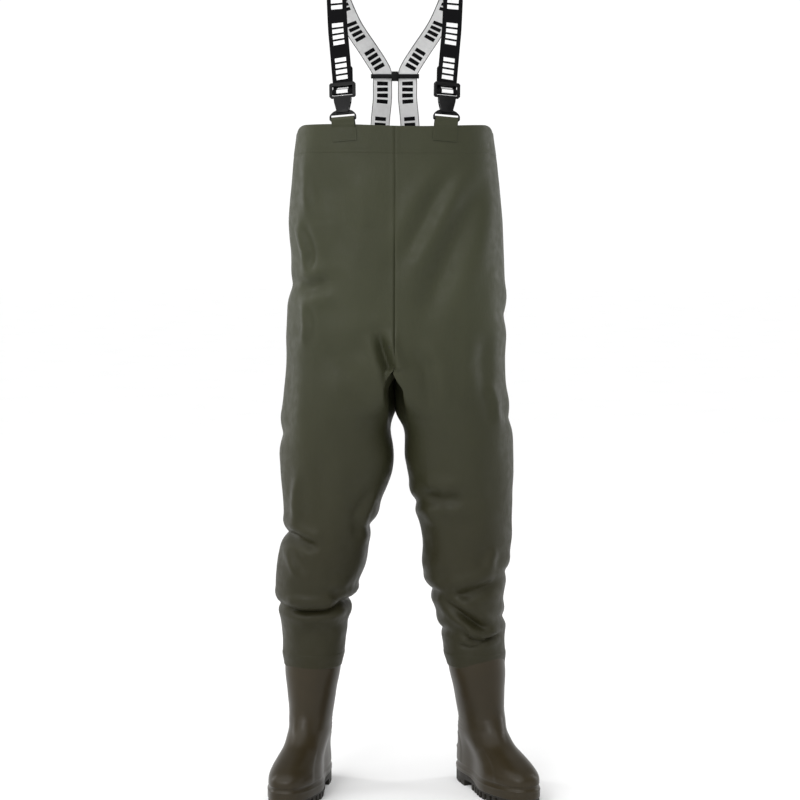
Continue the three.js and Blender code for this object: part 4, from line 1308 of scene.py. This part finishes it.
class WADERS_OT_straps(bpy.types.Operator):
    """Make the elastic straps, their turns round the buckles and their free ends"""

    bl_idname = "waders.straps"
    bl_label = "Straps"

    def execute(self, context):
        sizes = context.scene.waders_sizes
        faces = [finish("webbing_outside"), finish("webbing_inside")]
        for side, sign in SIDES.items():
            buckle = buckle_frame(side)
            heights = (-2.8, 30, 60, 90, 120)
            first = [(sign * STRAP_LEAN_OUT * z, STRAP_BACK, STRAP_START + z) for z in heights]
            over = [(sign * x, y, z) for x, y, z in SHOULDER_ROUTE]
            over = np.array(over) * MM + [MIDDLE_X, MIDDLE_Y, BIB_TOP]
            line = smooth_line(np.vstack([in_frame(buckle, first), over]), 0.005)
            share = np.linspace(0, 1, len(line))[:, None]
            turned = smoothstep(share, 0.18, 0.5)
            across = np.array(buckle.to_3x3().col[0]) * (1 - turned) + np.array([1.0, 0, 0]) * turned
            strap = ribbon(f"{side}_brace", line, across, sizes.webbing_width, STRAP_THICK, faces, 0.0, 11)
            upper, lower = in_frame(buckle, [(0, 0, STRETCH_TO), (0, 0, STRETCH_FROM)])
            forward = unit(STRETCH_WAY)
            end = upper + forward * ((lower - upper) @ forward)
            bend(strap, ("root", f"{side}_plug"), upper, end, "webbing", f"{side}_strap")
            line = smooth_line(in_frame(buckle, [(0, y, z) for y, z in TURN_ROUTE]), 0.0011)
            across = np.array(buckle.to_3x3().col[0])
            band = (across, TURN_WIDTH, TURN_THICK, faces)
            turn = ribbon(f"{side}_webbing_turn", line[::-1], *band, 0.018, 11)
            settle(turn, f"{side}_plug", "webbing", f"{side}_strap_turn")
            heights = (TURN_TOP - 0.5, TURN_TOP + 0.3 + TAIL_LENGTH)
            ends = in_frame(buckle, [(0, TAIL_BACK, z) for z in heights])
            line = ends[0] + (ends[1] - ends[0]) * np.linspace(0, 1, 46)[:, None]
            tail = ribbon(f"{side}_webbing_end", line, *band, 0.03, 11, round_end=True)
            near, far = in_frame(buckle, [(0, 0, TURN_TOP), (0, 0, TURN_TOP + 12)])
            bend(tail, (f"{side}_plug", f"{side}_tail"), near, far, "webbing", f"{side}_strap_tail")
        return {"FINISHED"}


CAMERA_AT = (-0.0079, -4.4795, 1.2)
CAMERA_DOWN = 4.9  # degrees below level
CAMERA_LENS, CAMERA_SENSOR = 98.3, 36
SUN_WAY = (1.5, 2.2, -3.6)
SUN_SOFTNESS = 80  # degrees


class WADERS_OT_stage(bpy.types.Operator):
    """Make the floor, the lights and the camera"""

    bl_idname = "waders.stage"
    bl_label = "Stage"

    def placed(self, name, data):
        obj = bpy.data.objects.new(name, data)
        bpy.context.scene.collection.objects.link(obj)
        return obj

    def floor(self):
        deselect()
        bpy.ops.mesh.primitive_plane_add(size=60, location=(0, 0, 0))
        floor = bpy.context.active_object
        floor.name = "studio_floor"
        f = Finish("studio_floor", (0.93, 0.93, 0.93), 0.7)
        tone = f.mixed(f.between(f.noise(3.0), 0, 1), (0.92, 0.92, 0.92), (0.94, 0.94, 0.94))
        f.wire(base_color=tone)
        floor.data.materials.append(f.material)

    def surround(self, stage):
        """A white surround, bright round the horizon and dimmer overhead."""
        world = bpy.data.worlds.new("studio")
        bpy.context.scene.world = world
        world.use_nodes = True
        tree = world.node_tree
        place = tree.nodes.new("ShaderNodeTexCoord")
        split = tree.nodes.new("ShaderNodeSeparateXYZ")
        height = tree.nodes.new("ShaderNodeMath")
        height.operation = "ABSOLUTE"
        ease = tree.nodes.new("ShaderNodeMapRange")
        ease.interpolation_type = "SMOOTHSTEP"
        for socket, value in zip(list(ease.inputs)[1:5], (0.2, 0.5, stage.horizon, stage.ambient)):
            socket.default_value = value
        tree.links.new(place.outputs["Generated"], split.inputs[0])
        tree.links.new(split.outputs["Z"], height.inputs[0])
        tree.links.new(height.outputs[0], ease.inputs["Value"])
        background = tree.nodes["Background"]
        background.inputs["Color"].default_value = (1, 1, 1, 1)
        tree.links.new(ease.outputs[0], background.inputs["Strength"])

    def overhead(self, strength):
        data = bpy.data.lights.new("overhead", "SUN")
        data.energy = strength
        data.angle = math.radians(SUN_SOFTNESS)
        sun = self.placed("overhead", data)
        sun.rotation_euler = Vector(SUN_WAY).to_track_quat("-Z", "Y").to_euler()

    def lamp(self, name, place, aim, size, watts):
        data = bpy.data.lights.new(name, "AREA")
        data.shape = "RECTANGLE"
        data.size, data.size_y = size
        data.energy = watts
        lamp = self.placed(name, data)
        lamp.location = place
        lamp.rotation_euler = (Vector(aim) - Vector(place)).to_track_quat("-Z", "Y").to_euler()

    def camera(self):
        data = bpy.data.cameras.new("camera")
        data.lens = CAMERA_LENS
        data.sensor_width = CAMERA_SENSOR
        data.clip_end = 60
        camera = self.placed("camera", data)
        camera.location = CAMERA_AT
        camera.rotation_euler = Euler((math.radians(90 - CAMERA_DOWN), 0, 0))
        bpy.context.scene.camera = camera

    def execute(self, context):
        stage = context.scene.waders_stage
        self.floor()
        self.surround(stage)
        self.overhead(stage.overhead)
        for name, sign in (("right_strip", -1), ("left_strip", 1)):
            self.lamp(name, (2.4 * sign, 0.9, 1.5), (0, 0, 0.9), (0.5, 2.4), stage.strip_power)
        self.lamp("front", (-1.4, -3.2, 2.6), (0, 0, 1.25), (0.9, 1.2), stage.front_power)
        self.camera()
        context.scene.view_settings.view_transform = "Standard"
        return {"FINISHED"}


# ---------------------------------------------------------------- settings and panel
class WadersSizes(bpy.types.PropertyGroup):
    fabric_thickness: FloatProperty(
        name="Fabric thickness", description="Wall of the coated fabric", default=0.0008, unit="LENGTH"
    )
    grid_spacing: FloatProperty(
        name="Mesh spacing", description="Between the fabric's vertices", default=0.005, unit="LENGTH"
    )
    fold_depth: FloatProperty(
        name="Fold depth", description="Depth of the folds, as a share of the drawn ones", default=1.0
    )
    webbing_width: FloatProperty(
        name="Webbing width", description="Width of the elastic webbing", default=0.04, unit="LENGTH"
    )


def colour_property(name, description, default):
    return FloatVectorProperty(
        name=name, description=description, default=default, subtype="COLOR", min=0, max=1
    )


class WadersColours(bpy.types.PropertyGroup):
    fabric: colour_property("Fabric", "Outside of the coated fabric", (0.031, 0.033, 0.017))
    lining: colour_property("Lining", "Inside of the coated fabric", (0.022, 0.022, 0.016))
    boot: colour_property("Boots", "Moulded uppers", (0.0215, 0.0158, 0.0068))
    sole: colour_property("Soles", "Moulded soles", (0.012, 0.010, 0.007))
    insole: colour_property("Insoles", "Pressed felt", (0.15, 0.145, 0.12))
    webbing: colour_property("Webbing", "Outside of the elastic webbing", (0.004, 0.004, 0.0045))
    webbing_mark: colour_property("Woven mark", "Straight bars across the webbing", (0.8, 0.8, 0.8))
    webbing_back: colour_property("Webbing back", "Inner face of the webbing", (0.74, 0.74, 0.74))
    buckle: colour_property("Buckles", "Moulded buckles and joiner", (0.003, 0.003, 0.0033))


class WadersStage(bpy.types.PropertyGroup):
    horizon: FloatProperty(name="Horizon", description="Brightness of the white surround", default=1.05)
    ambient: FloatProperty(name="Ambient", description="Strength of the light from above", default=0.45)
    overhead: FloatProperty(name="Overhead", description="Strength of the soft overhead light", default=2.3)
    strip_power: FloatProperty(
        name="Side strips", description="Power of each light beside the legs", default=22, unit="POWER"
    )
    front_power: FloatProperty(
        name="Front light", description="Power of the light in front of the bib", default=25, unit="POWER"
    )


PIECE_OPERATORS = (
    WADERS_OT_fabric,
    WADERS_OT_trim,
    WADERS_OT_boots,
    WADERS_OT_soles,
    WADERS_OT_buckles,
    WADERS_OT_straps,
    WADERS_OT_stage,
)


class WADERS_PT_panel(bpy.types.Panel):
    bl_idname = "WADERS_PT_panel"
    bl_label = "Chest waders"
    bl_space_type = "VIEW_3D"
    bl_region_type = "UI"
    bl_category = "Waders"

    def draw(self, context):
        scene = context.scene
        for group in (scene.waders_sizes, scene.waders_colours, scene.waders_stage):
            box = self.layout.box()
            for key in group.__annotations__:
                box.prop(group, key)
        for operator in PIECE_OPERATORS:
            self.layout.operator(operator.bl_idname)


GROUPS = {"waders_sizes": WadersSizes, "waders_colours": WadersColours, "waders_stage": WadersStage}
CLASSES = (*GROUPS.values(), *PIECE_OPERATORS, WADERS_PT_panel)


def register():
    for cls in CLASSES:
        bpy.utils.register_class(cls)
    for name, group in GROUPS.items():
        setattr(bpy.types.Scene, name, PointerProperty(type=group))


def unregister():
    for name in GROUPS:
        delattr(bpy.types.Scene, name)
    for cls in reversed(CLASSES):
        bpy.utils.unregister_class(cls)


def main():
    register()
    for operator in PIECE_OPERATORS:
        group, name = operator.bl_idname.split(".")
        getattr(getattr(bpy.ops, group), name)()


if __name__ == "__main__":
    main()
